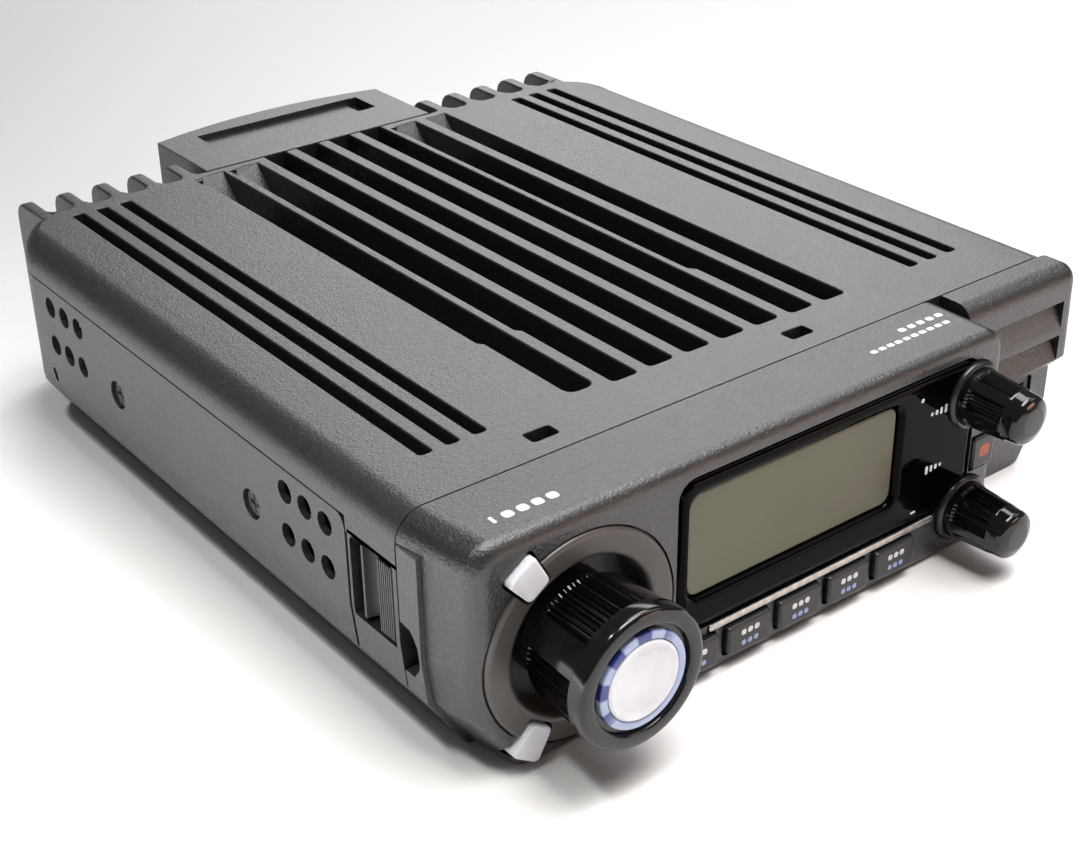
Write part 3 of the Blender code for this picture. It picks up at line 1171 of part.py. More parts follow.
# ---- Release latch on the left side ----------------------------------------------------------
def make_latch():
    """The ribbed thumb slide that frees the head, and the spring that returns it."""
    front = SEAM_Y + LATCH_FRONT
    face = -HALF_WIDTH
    ribs = 7
    rib_pitch = 0.0008
    outline = [(face + LATCH_THICKNESS, front)]
    for n in range(ribs):
        start = front + n * rib_pitch
        outline.append((face + 0.0001, start + 0.0001))
        outline.append((face + 0.0001, start + 0.0005))
        outline.append((face + 0.0005, start + 0.0006))
    ridge = front + ribs * rib_pitch
    reach = front + LATCH_LENGTH - ridge
    for n in range(6):
        angle = pi / 2 * n / 5
        outline.append((face + 0.0002 + 0.0030 * (1 - cos(angle)), ridge + reach * sin(angle)))
    outline.append((face + LATCH_THICKNESS, front + LATCH_LENGTH))
    high = LATCH_BOTTOM_Z + LATCH_HEIGHT
    slab("release_latch", [outline], "Z", LATCH_BOTTOM_Z, high, KEYCAP, (face, front, LATCH_BOTTOM_Z))
    coil_radius = 0.0009
    wire = 0.0002
    turns = 4
    begin = front + LATCH_LENGTH + GAP
    end = SEAM_Y + LATCH_FRONT + LATCH_LENGTH + LATCH_TRAVEL + RUNNING_GAP + 0.0035 - GAP
    curve = bpy.data.curves.new("latch_spring", "CURVE")
    curve.dimensions = "3D"
    curve.bevel_depth = wire
    curve.bevel_resolution = 0
    curve.use_fill_caps = True
    spline = curve.splines.new("POLY")
    steps = turns * 8
    spline.points.add(steps)
    for n, point in enumerate(spline.points):
        angle = 2 * pi * n / 8
        y = begin + wire + (end - begin - 2 * wire) * n / steps
        point.co = (coil_radius * cos(angle), y, coil_radius * sin(angle), 1)
    spring = bpy.data.objects.new("latch_spring", curve)
    spring.location = (face + 0.0034 - coil_radius / 2, 0, LATCH_BOTTOM_Z + LATCH_HEIGHT / 2)
    parts.objects.link(spring)
    curve.materials.append(SCREW_STEEL)


make_chassis()
make_bottom_cover()
make_side_screws()
make_fan_housing()
make_fan()
make_electronics()
make_sockets()
make_head_case()
make_rear_case()
make_head_inside()
make_display()
make_dial()
make_keys()
make_small_knobs()
make_corner_block()
make_latch()
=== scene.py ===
"""Looks for a mobile transceiver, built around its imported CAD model, in metres.

+X is the operator's right, -Y is towards the operator and +Z is up. The sections follow
the object as it is put together, from the casting to the control head and its keys.
"""

from math import cos, pi, radians, sin

import bmesh
import bpy
from mathutils import Matrix, Vector
from mathutils.geometry import tessellate_polygon


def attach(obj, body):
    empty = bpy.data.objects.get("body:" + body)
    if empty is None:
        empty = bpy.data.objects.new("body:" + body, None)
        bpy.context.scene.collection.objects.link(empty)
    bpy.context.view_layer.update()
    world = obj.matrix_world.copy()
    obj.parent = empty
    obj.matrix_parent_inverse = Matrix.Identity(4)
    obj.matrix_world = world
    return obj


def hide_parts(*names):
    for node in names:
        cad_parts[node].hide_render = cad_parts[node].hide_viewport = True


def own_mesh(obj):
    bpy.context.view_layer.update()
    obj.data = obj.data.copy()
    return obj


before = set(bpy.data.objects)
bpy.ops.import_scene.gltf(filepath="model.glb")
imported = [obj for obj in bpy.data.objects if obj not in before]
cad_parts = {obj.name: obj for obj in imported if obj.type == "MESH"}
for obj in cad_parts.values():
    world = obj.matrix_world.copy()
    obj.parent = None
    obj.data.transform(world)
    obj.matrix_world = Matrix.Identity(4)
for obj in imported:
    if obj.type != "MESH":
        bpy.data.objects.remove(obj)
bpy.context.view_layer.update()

# ---- Studio ------------------------------------------------------------------------------------
# A plain pale table top that carries on behind the object, soft light panels overhead and
# behind, and a camera that looks down on the radio's front left corner.
AZIMUTH, ELEVATION, ROLL = radians(-37.516), radians(29.155), radians(-0.797)
back = Vector((sin(AZIMUTH) * cos(ELEVATION), -cos(AZIMUTH) * cos(ELEVATION), sin(ELEVATION)))
level = Vector((cos(AZIMUTH), sin(AZIMUTH), 0))
upright = back.cross(level)
across = level * cos(ROLL) + upright * sin(ROLL)
upward = upright * cos(ROLL) - level * sin(ROLL)
lens = bpy.data.cameras.new("camera")
lens.lens = 59.41
lens.sensor_width = 36
lens.clip_start = 0.01
camera = bpy.data.objects.new("camera", lens)
camera.matrix_world = Matrix(
    (
        (across.x, upward.x, back.x, -0.17999),
        (across.y, upward.y, back.y, -0.24176),
        (across.z, upward.z, back.z, 0.16954),
        (0, 0, 0, 1),
    )
)
bpy.context.scene.collection.objects.link(camera)
bpy.context.scene.camera = camera
bpy.context.scene.view_settings.view_transform = "Standard"


def panel_light(name, place, target, width, height, watts, colour=(1, 1, 1)):
    """A soft rectangular light at a place, facing a target."""
    light = bpy.data.lights.new(name, "AREA")
    light.shape = "RECTANGLE"
    light.size = width
    light.size_y = height
    light.energy = watts
    light.color = colour
    lamp = bpy.data.objects.new(name, light)
    lamp.location = place
    lamp.rotation_mode = "QUATERNION"
    lamp.rotation_quaternion = (Vector(target) - Vector(place)).to_track_quat("-Z", "Y")
    bpy.context.scene.collection.objects.link(lamp)
    return lamp


panel_light("behind_right", (0.97, 1.08, 0.72), (0, 0, 0.04), 1.05, 0.72, 9)
panel_light("overhead", (0.45, 0.10, 1.10), (0, 0, 0), 0.6, 0.6, 7)
panel_light("warm_card", (0.52, -0.82, 0.16), (0, -0.08, 0.03), 0.34, 0.13, 1.1, (1.0, 0.58, 0.38))
panel_light("front_right", (0.95, -0.55, 0.95), (0, 0, 0.02), 0.6, 0.6, 2)
table_left = panel_light(
    "table_left", (-0.42, -0.05, 0.60), (-0.421, -0.05, 0), 0.3, 0.35, 3.8, (0.97, 1.0, 0.97)
)
table_left.data.spread = radians(50)
table_front = panel_light(
    "table_front", (0.12, -0.35, 0.80), (0.12, -0.351, 0), 0.5, 0.5, 2.5, (1.0, 0.97, 0.96)
)
table_front.data.spread = radians(70)

surroundings = bpy.data.worlds.new("surroundings")
surroundings.use_nodes = True
surroundings.node_tree.nodes["Background"].inputs["Color"].default_value = (0.95, 0.97, 1.0, 1)
surroundings.node_tree.nodes["Background"].inputs["Strength"].default_value = 0.12
bpy.context.scene.world = surroundings


class Shade:
    """A value in a material's node tree. Ordinary sums on it add Math nodes."""

    def __init__(self, tree, socket=None):
        self.tree = tree
        self.socket = socket

    def node(self, kind, settings=None, inputs=None, output=0):
        """Adds a node: its settings first, then the values or links of its sockets."""
        made = self.tree.nodes.new("ShaderNode" + kind)
        for name, value in (settings or {}).items():
            if name == "stops":
                ramp = made.color_ramp.elements
                while len(ramp) < len(value):
                    ramp.new(1.0)
                for stop, (place, grey) in zip(ramp, value):
                    stop.position = place
                    stop.color = (grey, grey, grey, 1)
            else:
                setattr(made, name, value)
        for name, value in (inputs or {}).items():
            if isinstance(value, Shade):
                self.tree.links.new(value.socket, made.inputs[name])
            else:
                made.inputs[name].default_value = value
        return Shade(self.tree, made.outputs[output])

    def maths(self, operation, *values):
        return self.node("Math", {"operation": operation}, dict(enumerate(values)))

    def __add__(self, other):
        return self.maths("ADD", self, other)

    def __mul__(self, other):
        return self.maths("MULTIPLY", self, other)

    def __sub__(self, other):
        return self.maths("SUBTRACT", self, other)

    def __rsub__(self, other):
        return self.maths("SUBTRACT", other, self)

    __radd__ = __add__
    __rmul__ = __mul__

    def between(self, low, high):
        """0 below the low value and 1 above the high one, with a smooth change between."""
        limits = {"From Min": low, "From Max": high}
        return self.node("MapRange", {"interpolation_type": "SMOOTHSTEP"}, {"Value": self, **limits})

    def mixed(self, first, second):
        """The first colour where this value is 0 and the second where it is 1."""
        both = {}
        for socket, colour in ((6, first), (7, second)):
            both[socket] = colour if isinstance(colour, Shade) else (*colour, 1)
        return self.node("Mix", {"data_type": "RGBA"}, {0: self, **both}, 2)


def new_finish(name, colour, roughness, **constants):
    """A material with its plain shader values set, its shader node, and a Shade to build on."""
    made = bpy.data.materials.new(name)
    made.use_nodes = True
    shader = made.node_tree.nodes["Principled BSDF"]
    shader.inputs["Base Color"].default_value = (*colour, 1)
    shader.inputs["Roughness"].default_value = roughness
    for socket, value in constants.items():
        shader.inputs[socket.replace("_", " ")].default_value = value
    return made, shader, Shade(made.node_tree)


def feed(shader, **sockets):
    """Links values to the shader's sockets."""
    for socket, value in sockets.items():
        value.tree.links.new(value.socket, shader.inputs[socket.replace("_", " ")])


def bump(height, distance, strength=1.0, under=None):
    """A Bump node for a height from 0 to 1 and its depth in metres."""
    inputs = {"Height": height, "Distance": distance, "Strength": strength}
    if under:
        inputs["Normal"] = under
    return height.node("Bump", {}, inputs)


def table_top():
    """The table's finish: pale, matt and a little uneven."""
    made, shader, shade = new_finish("table_top", (0.80, 0.79, 0.79), 0.55)
    patches = shade.node("TexNoise", {}, {"Scale": 2.5, "Detail": 3.0})
    feed(shader, Base_Color=patches.between(0.3, 0.7).mixed((0.83, 0.815, 0.81), (0.78, 0.775, 0.775)))
    grain = shade.node("TexNoise", {}, {"Scale": 900.0, "Detail": 2.0})
    feed(shader, Normal=bump(grain, 0.00002))
    return made


table_mesh = bpy.data.meshes.new("table")
table_mesh.from_pydata([(-4, -4, 0), (4, -4, 0), (4, 4, 0), (-4, 4, 0)], [], [(0, 1, 2, 3)])
table = bpy.data.objects.new("table", table_mesh)
table.location.z = -0.0001
table_mesh.materials.append(table_top())
bpy.context.scene.collection.objects.link(table)

# ---- Casting: heat-sink plate ------------------------------------------------------------------
# One aluminium pressure die casting with a fine, satin black, sandy paint. Eight deep
# channels and three slots a side are cast in; the middle channels lead air to the fan.
TOP_Z = 0.040
SEAM_Y = -0.06575
PLATE_REAR_Y = 0.06575
SIDE_X = 0.0705
FLANGE_Z = 0.0338  # the casting overhangs the cover's flange above this
FLOOR_Z = 0.0315
CHANNEL_PITCH = 0.00775
CHANNEL_HALF = 0.0025
EDGE = 0.00035  # the small radius on every cast edge


def sandy_paint(name, colour, rough, crest_highlight=0.35, grain=1.0):
    """Textured paint: tight round grains among duller patches; the grain crests are painted lighter as
    painted highlight and the pits darker as painted shade.
    """
    made, shader, shade = new_finish(name, colour, rough, Specular_IOR_Level=0.85)
    place = shade.node("TexCoord", {}, {}, 3)
    fine = shade.node("TexNoise", {}, {"Vector": place, "Scale": 2100.0, "Detail": 3.0, "Roughness": 0.7})
    coarse = shade.node("TexNoise", {}, {"Vector": place, "Scale": 850.0, "Detail": 2.0})
    patches = shade.node("TexNoise", {}, {"Vector": place, "Scale": 55.0, "Detail": 4.0})
    lit_crest_mask = fine.between(0.56, 0.70)
    shaded_pit_mask = fine.between(0.30, 0.46)
    # Painted highlight on the grain crests and painted shade in the pits, both in the base colour.
    darker = [c * 0.35 for c in colour]
    lighter = [min(1.0, c * (1 + 4 * crest_highlight) + 0.03 * crest_highlight) for c in colour]
    feed(shader, Base_Color=lit_crest_mask.mixed(shaded_pit_mask.mixed(darker, colour), lighter))
    feed(shader, Roughness=rough + 0.16 - 0.14 * shaded_pit_mask - 0.08 * lit_crest_mask + 0.06 * patches)
    feed(shader, Normal=bump(fine * 0.7 + coarse * 0.3, 0.00022 * grain, 0.75))
    return made


casting_paint = sandy_paint("casting_paint", (0.020, 0.020, 0.020), 0.28)


def offset_point(points, n, amount):
    """An outline's corner moved towards its material, which lies to the left of its run."""
    here = Vector(points[n][:2])
    before = (here - Vector(points[n - 1][:2])).normalized()
    after = (Vector(points[(n + 1) % len(points)][:2]) - here).normalized()
    first = Vector((-before.y, before.x))
    second = Vector((-after.y, after.x))
    return here + (first + second) * (amount / max(0.3, 1 + first.dot(second)))


def wound(points, outer):
    """The outline running with its material on its left: outer ones anticlockwise, holes clockwise."""
    area = sum(points[n - 1][0] * p[1] - p[0] * points[n - 1][1] for n, p in enumerate(points))
    return points if (area > 0) == outer else points[::-1]


def slab(loops, low, high, along="Z", rounds=("high",), steps=3):
    """A slab between two heights from an outer outline and holes. Each point is (u, v, radius),
    and the radius rounds the slab's edge there at the high end, the low end or both."""
    outlines = [wound([tuple(p) for p in loop], n == 0) for n, loop in enumerate(loops)]
    quarters = [pi / 2 * k / steps for k in range(steps + 1)]
    arc = [(1 - sin(quarter), 1 - cos(quarter)) for quarter in quarters]
    rows = [(low, *spot) for spot in reversed(arc)] if "low" in rounds else [(low, 1.0, 0.0)]
    start = len(rows)
    rows += [(high, *spot) for spot in arc] if "high" in rounds else [(high, 1.0, 0.0)]
    bm = bmesh.new()
    rings = []
    for outline in outlines:
        ring = []
        for index, (height, drop, inset) in enumerate(rows):
            plain = (index == 0 and "low" not in rounds) or (index == len(rows) - 1 and "high" not in rounds)
            row = []
            for n, point in enumerate(outline):
                radius = 0 if plain or len(point) < 3 else point[2]
                spot = offset_point(outline, n, radius * inset) if radius else Vector(point[:2])
                sign = 1 if index < start else -1
                row.append(bm.verts.new((spot.x, spot.y, height + sign * radius * drop)))
            ring.append(row)
        rings.append(ring)
        for lower, upper in zip(ring, ring[1:]):
            for n in range(len(lower)):
                bm.faces.new((lower[n - 1], lower[n], upper[n], upper[n - 1]))
    for level_index in (0, -1):
        flat = [[v.co.copy() for v in ring[level_index]] for ring in rings]
        corners = [v for ring in rings for v in ring[level_index]]
        for triangle in tessellate_polygon(flat):
            bm.faces.new([corners[k] for k in triangle])
    bmesh.ops.remove_doubles(bm, verts=bm.verts, dist=0.0000005)
    onto = {
        "X": Matrix(((0, 0, 1, 0), (1, 0, 0, 0), (0, 1, 0, 0), (0, 0, 0, 1))),
        "Y": Matrix(((1, 0, 0, 0), (0, 0, 1, 0), (0, 1, 0, 0), (0, 0, 0, 1))),
    }
    if along in onto:
        bmesh.ops.transform(bm, matrix=onto[along], verts=bm.verts)
    bmesh.ops.recalc_face_normals(bm, faces=bm.faces)
    return bm


def corners(points, steps=4):
    """An outline from (u, v, corner radius, edge radius) points, with arcs at its corners."""
    outline = []
    for n, (x, y, radius, edge) in enumerate(points):
        here = Vector((x, y))
        to_last = (Vector(points[n - 1][:2]) - here).normalized()
        to_next = (Vector(points[(n + 1) % len(points)][:2]) - here).normalized()
        if radius <= 0:
            outline.append((x, y, edge))
            continue
        half = to_last.angle(to_next) / 2
        centre = here + (to_last + to_next).normalized() * (radius / sin(half))
        spoke = here + to_last * (radius * cos(half) / sin(half)) - centre
        turn = 1 if to_last.cross(to_next) < 0 else -1
        for step in range(steps + 1):
            spot = centre + Matrix.Rotation(turn * (pi - 2 * half) * step / steps, 2) @ spoke
            outline.append((spot.x, spot.y, edge))
    return outline


def bar(low, high, radius=0.0, edge=0.0, steps=4):
    """A rectangle's outline, with one corner radius and one edge radius all round."""
    (x0, y0), (x1, y1) = low, high
    ends = ((x0, y0), (x1, y0), (x1, y1), (x0, y1))
    return corners([(x, y, radius, edge) for x, y in ends], steps)


def joined(*shapes):
    """Several bmeshes as one, kept as separate shells."""
    whole = bmesh.new()
    for shape in shapes:
        carrier = bpy.data.meshes.new("carrier")
        shape.to_mesh(carrier)
        shape.free()
        whole.from_mesh(carrier)
        bpy.data.meshes.remove(carrier)
    return whole


def piece(name, shape, finish, body, replaces=(), cuts=(), angle=32):
    """Makes an object from a bmesh, cuts other bmeshes from it, and sets it on its body."""
    mesh = bpy.data.meshes.new(name)
    shape.to_mesh(mesh)
    shape.free()
    made = bpy.data.objects.new(name, mesh)
    bpy.context.scene.collection.objects.link(made)
    tools = []
    for cutter in cuts:
        tool = bpy.data.objects.new("cutter", bpy.data.meshes.new("cutter"))
        cutter.to_mesh(tool.data)
        cutter.free()
        bpy.context.scene.collection.objects.link(tool)
        tools.append(tool)
        change = made.modifiers.new("cut", "BOOLEAN")
        change.operation = "DIFFERENCE"
        change.solver = "EXACT"
        change.object = tool
    if tools:
        bpy.context.view_layer.update()
        settled = bpy.data.meshes.new_from_object(made.evaluated_get(bpy.context.evaluated_depsgraph_get()))
        made.modifiers.clear()
        made.data = settled
        settled.name = name
        for tool in tools:
            bpy.data.objects.remove(tool, do_unlink=True)
    made.data.materials.clear()
    made.data.materials.append(finish)
    made.data.shade_smooth()
    made.data.set_sharp_from_angle(angle=radians(angle))
    made.modifiers.new("even_shading", "WEIGHTED_NORMAL").keep_sharp = True
    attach(made, body)
    if replaces:
        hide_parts(*replaces)
    return made


def channel_x(n):
    return (n - 3.5) * CHANNEL_PITCH


REAR_CORNER_RADIUS = 0.0115


def plate_outline():
    """The plate from above. Side edges have a 5 mm radius, which fades out round the rear
    corners; the rear edge runs in hollows between the fins and into the four open channels."""
    points = [(SIDE_X, SEAM_Y - 0.012, 0.005), (SIDE_X, PLATE_REAR_Y - REAR_CORNER_RADIUS, 0.005)]
    for k in range(1, 9):
        turn = pi / 2 * k / 9
        x = SIDE_X - REAR_CORNER_RADIUS * (1 - cos(turn))
        y = PLATE_REAR_Y - REAR_CORNER_RADIUS * (1 - sin(turn))
        points.append((x, y, 0.005 - 0.0044 * k / 9))
    right = [(SIDE_X - REAR_CORNER_RADIUS + 0.0008, PLATE_REAR_Y, 0.0006)]
    fins = [(4 + n) * CHANNEL_PITCH for n in range(4, -1, -1)]
    for n, x in enumerate(fins):
        outer, inner = x + 0.00125, x - 0.00125
        if n:
            right += [(outer + 0.0006, PLATE_REAR_Y + 0.0003, 0.0005), (outer, PLATE_REAR_Y + 0.0014, 0.0004)]
        else:
            right.pop()
            right.append((outer, PLATE_REAR_Y + 0.0006, 0.0004))
        right += [(inner, PLATE_REAR_Y + 0.0014, 0.0004), (inner - 0.0006, PLATE_REAR_Y + 0.0003, 0.0005)]
        if n < 4:
            valley = PLATE_REAR_Y - 0.0003
            right += [(inner - 0.0014, valley, 0.0006), (inner - 0.0039, valley, 0.0006)]
    right.append((0.0272, PLATE_REAR_Y, EDGE))
    middle = []
    for n in (5, 4, 3, 2):
        x = channel_x(n)
        front = SEAM_Y + 0.0111 + 0.0003
        middle.append((x + CHANNEL_HALF, PLATE_REAR_Y, EDGE, "open"))
        middle += [(*p, "end") for p in channel_end(x, front)]
        middle.append((x - CHANNEL_HALF, PLATE_REAR_Y, EDGE, "open"))
    left = [(-x, y, r) for x, y, r in reversed(points + right)]
    return points + right + [p[:3] for p in middle] + left


def channel_end(x, front, radius=0.0008):
    """The rounded front end of a channel, from its right wall to its left."""
    ends = []
    for k in range(4):
        turn = pi / 2 * k / 3
        ends.append((x + CHANNEL_HALF - radius * (1 - cos(turn)), front + radius * (1 - sin(turn)), EDGE))
    for k in range(4):
        turn = pi / 2 * k / 3
        ends.append((x - CHANNEL_HALF + radius * (1 - sin(turn)), front + radius * (1 - cos(turn)), EDGE))
    return ends


plate_holes = []
for n in (0, 1, 6, 7):
    x = channel_x(n)
    front = SEAM_Y + 0.0111 + (0.0012 if n == 0 else 0.0)
    rear = PLATE_REAR_Y - 0.0020
    end = channel_end(x, front, 0.0016 if n == 0 else 0.0008)
    plate_holes.append([(x + CHANNEL_HALF, rear, EDGE), *end, (x - CHANNEL_HALF, rear, EDGE)])
for side in (-1, 1):
    for n in range(3):
        x = side * (0.0571 - 0.0049 * n)
        low, high = (x - 0.00115, SEAM_Y + 0.0112), (x + 0.00115, PLATE_REAR_Y - 0.0040)
        plate_holes.append(bar(low, high, 0.0006, 0.0003, 3))
for x in (-0.0407, 0.0124):
    low, high = (x - 0.00245, SEAM_Y + 0.0038), (x + 0.00245, SEAM_Y + 0.0068)
    plate_holes.append(bar(low, high, 0.0005, 0.0002, 2))

ledges = []
for n in (0, 1, 6):
    x = channel_x(n) - CHANNEL_HALF
    jog = SEAM_Y + 0.0360
    begin, rear = jog - 0.0022, PLATE_REAR_Y - 0.0026
    outline = [(x + 0.001, begin), (x, begin), (x - 0.0017, jog), (x - 0.0017, rear), (x + 0.001, rear)]
    ledges.append(slab([outline], TOP_Z - 0.0009, TOP_Z + 0.002, rounds=()))

plate = slab([plate_outline(), *plate_holes], FLOOR_Z - 0.0004, TOP_Z, steps=6)
cover_room = [slab([bar((-0.1, SEAM_Y - 0.05), (0.1, SEAM_Y))], 0.02, 0.05, rounds=())]
for side in (-1, 1):
    low, high = (side * 0.0800 - 0.011, SEAM_Y + 0.0130), (side * 0.0800 + 0.011, 0.09)
    cover_room.append(slab([bar(low, high)], 0.02, FLANGE_Z, rounds=()))
piece("heat_sink_plate", plate, casting_paint, "main_unit", ("chassis",), ledges + cover_room)


def shadow_paint():
    """The same paint deep in the channels, darkened to near black as painted shade where little light comes
    back.
    """
    made, shader, shade = new_finish("channel_floor_painted_shade", (0.030, 0.030, 0.030), 0.70)
    place = shade.node("TexCoord", {}, {}, 3)
    shade_mottle = shade.node("TexNoise", {}, {"Vector": place, "Scale": 700.0, "Detail": 3.0})
    # Near-black painted shade for the channel floors, mottled a little.
    feed(shader, Base_Color=shade_mottle.between(0.55, 0.8).mixed((0.004, 0.004, 0.004), (0.012, 0.012, 0.011)))
    feed(shader, Normal=bump(shade_mottle, 0.00006, 0.5))
    return made


channel_painted_shade = shadow_paint()
outline = bar((-0.0620, SEAM_Y + 0.002), (0.0620, PLATE_REAR_Y - 0.0005))
floors = slab([outline], FLOOR_Z - 0.0012, FLOOR_Z, rounds=())
piece("channel_floors", floors, channel_painted_shade, "main_unit", ())
ramps = []
for n in (0, 1, 6, 7):
    x = channel_x(n)
    top = PLATE_REAR_Y - 0.0020
    outline = [
        (top - 0.0085, FLOOR_Z),
        (top + 0.0003, FLOOR_Z),
        (top + 0.0003, TOP_Z - 0.0002),
        (top, TOP_Z - 0.0002),
    ]
    ramps.append(slab([outline], x - CHANNEL_HALF - 0.0002, x + CHANNEL_HALF + 0.0002, "X", ()))
piece("channel_ramps", joined(*ramps), casting_paint, "main_unit", ())

# ---- Casting: the comb of fins behind the plate ------------------------------------------------
# Ten blades cast with the plate stand out behind it, five on each side of the fan. Their
# top rear corners are rounded; the outer two on each side reach down past the sockets.
FIN_TIP_Y = 0.07655
blades = []
for side in (-1, 1):
    for n in range(5):
        x = side * (4 + n) * CHANNEL_PITCH
        foot = 0.0015 if n > 2 else 0.0245
        root = PLATE_REAR_Y - 0.0034
        profile = [
            (root, foot, 0, 0.0004),
            (FIN_TIP_Y, foot, 0.001, 0.0004),
            (FIN_TIP_Y, TOP_Z - 0.0001, 0.0036, 0.0004),
            (root, TOP_Z - 0.0001, 0, 0.0004),
        ]
        blades.append(slab([corners(profile, 5)], x - 0.00125, x + 0.00125, "X", ("low", "high"), 2))
piece("rear_fins", joined(*blades), casting_paint, "main_unit", ())
rear_wall = slab([bar((-0.0632, 0.0016), (0.0632, FLOOR_Z - 0.0002))], 0.0612, PLATE_REAR_Y - 0.0015, "Y", ())
sockets_room = []
for x, half in ((-0.0405, 0.0095), (0.0405, 0.0092), (-0.058125, 0.0030), (0.058125, 0.0030), (0, 0.0262)):
    low, high = (x - half, 0.0035 if x else 0.0016), (x + half, 0.0216 if x else 0.038)
    sockets_room.append(slab([bar(low, high)], 0.05, 0.08, "Y", ()))
piece("rear_wall", rear_wall, casting_paint, "main_unit", (), sockets_room)

# ---- Casting: front block ----------------------------------------------------------------------
# The casting's front is a full section, flush with the head. The release latch slides in a
# rounded recess in its left side.
COVER_FRONT_Y = -0.05245


def body_section(inset=0.0, top=0.0318):
    """The body from the front: the sides lean in below 18.5 mm and slope in below 10.5 mm."""
    x = SIDE_X - inset
    return [
        (x - 0.0075 + inset * 0.3, inset, 0.0015, 0.0004),
        (x - 0.0008, 0.0105, 0.0015, 0.0004),
        (x, 0.0185, 0.0015, 0.0004),
        (x, top, 0, 0.0004),
        (-x, top, 0, 0.0004),
        (-x, 0.0185, 0.0015, 0.0004),
        (-x + 0.0008, 0.0105, 0.0015, 0.0004),
        (-x + 0.0075 - inset * 0.3, inset, 0.0015, 0.0004),
    ]


block = slab([corners(body_section(), 3)], SEAM_Y, COVER_FRONT_Y - 0.0003, "Y", ("high",), 2)
recess = corners(
    [
        (-0.0648, 0.0171, 0.0004, 0),
        (-0.0537, 0.0171, 0.0006, 0),
        (-0.0537, 0.0311, 0.0012, 0),
        (-0.0648, 0.0311, 0.0004, 0),
    ],
    5,
)
latch_room = slab([recess], -0.08, -0.0655, "X", ())
socket_room = slab([bar((-0.0086, 0.0142), (0.0086, 0.0218))], -0.07, -0.055, "Y", ())
piece("front_block", block, casting_paint, "main_unit", (), [latch_room, socket_room])

# ---- Release latch -----------------------------------------------------------------------------
# A moulded slide in the left side. Its front part is ribbed for a fingertip, and behind the
# ribs a hollow ramp rises to a thin rim.


def moulded(name, colour, rough, grain=0.3, **constants):
    """Moulded plastic: an even fine texture with slight changes of sheen."""
    made, shader, shade = new_finish(name, colour, rough, **constants)
    place = shade.node("TexCoord", {}, {}, 3)
    fine = shade.node("TexNoise", {}, {"Vector": place, "Scale": 3200.0, "Detail": 2.0})
    patches = shade.node("TexNoise", {}, {"Vector": place, "Scale": 70.0, "Detail": 3.0})
    darker = [c * 0.88 for c in colour]
    lighter = [min(1.0, c * 1.1 + 0.002) for c in colour]
    feed(shader, Base_Color=patches.between(0.3, 0.7).mixed(darker, lighter))
    feed(shader, Roughness=rough - 0.05 + 0.10 * patches)
    feed(shader, Normal=bump(fine, 0.00003 * grain, 0.5))
    return made


latch_plastic = moulded("latch_plastic", (0.045, 0.047, 0.048), 0.36)
outline = []
for n in range(7):
    y = -0.06435 + 0.00054 * n
    outline += [(-0.0698, y), (-0.0704, y + 0.00012), (-0.0704, y + 0.00040)]
outline += [(-0.0698, -0.06435 + 0.00054 * 7), (-0.0674, -0.0604)]
for k in range(9):
    turn = pi / 2 * k / 8
    outline.append((-0.0703 + 0.0031 * cos(turn), -0.0600 + 0.00320 * sin(turn)))
outline += [(-0.0703, -0.0563), (-0.0699, -0.0560), (-0.0663, -0.0560), (-0.0663, -0.06435)]
shape = slab([[(x, y, 0.0002) for x, y in outline]], 0.0178, 0.0305, "Z", ("low", "high"), 2)
piece("release_latch_slide", shape, latch_plastic, "release_latch", ("release_latch",))

# ---- Bottom cover and its screws ---------------------------------------------------------------
# One folded steel sheet in black textured paint wraps the underside and both sides. Each
# side has two groups of six bracket holes and is held by two recessed screws.


def from_cad(name, node, finish, body, width=0.0, cuts=(), segments=2):
    """A finished copy of a modelled node, with small radii on its hard edges."""
    shape = bmesh.new()
    shape.from_mesh(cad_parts[node].data)
    bmesh.ops.remove_doubles(shape, verts=shape.verts, dist=0.000001)
    bmesh.ops.dissolve_limit(shape, angle_limit=radians(1), verts=shape.verts, edges=shape.edges)
    made = piece(name, shape, finish, body, (node,), cuts)
    if width:
        softened = made.modifiers.new("radii", "BEVEL")
        softened.width = width
        softened.segments = segments
        softened.limit_method = "ANGLE"
        softened.angle_limit = radians(40)
        softened.use_clamp_overlap = True
        made.modifiers.move(1, 0)
    return made


cover_paint = sandy_paint("cover_paint", (0.024, 0.026, 0.025), 0.32, 0.3, 0.8)
slots = []
for side in (-1, 1):
    x = side * 0.0705
    slots.append(slab([bar((0.0509, 0.0126), (0.0523, 0.0156), 0.0006)], x - 0.003, x + 0.003, "X", ()))
from_cad("bottom_cover_sheet", "bottom_cover", cover_paint, "main_unit", 0.0002, slots)


def metal(name, colour, rough, scale=900.0, **constants):
    """Bare or plated metal with fine wear, in which the duller patches show."""
    made, shader, shade = new_finish(name, colour, rough, Metallic=1.0, **constants)
    place = shade.node("TexCoord", {}, {}, 3)
    wear = shade.node("TexNoise", {}, {"Vector": place, "Scale": scale, "Detail": 4.0})
    feed(shader, Base_Color=wear.between(0.35, 0.7).mixed([c * 0.7 for c in colour], colour))
    feed(shader, Roughness=rough - 0.08 + 0.16 * wear)
    feed(shader, Normal=bump(wear, 0.00001, 0.4))
    return made


screw_steel = metal("screw_steel", (0.10, 0.10, 0.10), 0.42)
for side in ("left", "right"):
    for end in ("front", "rear"):
        node = f"cover_screw_{side}_{end}"
        from_cad(f"screw_{side}_{end}", node, screw_steel, "main_unit", 0.00015)

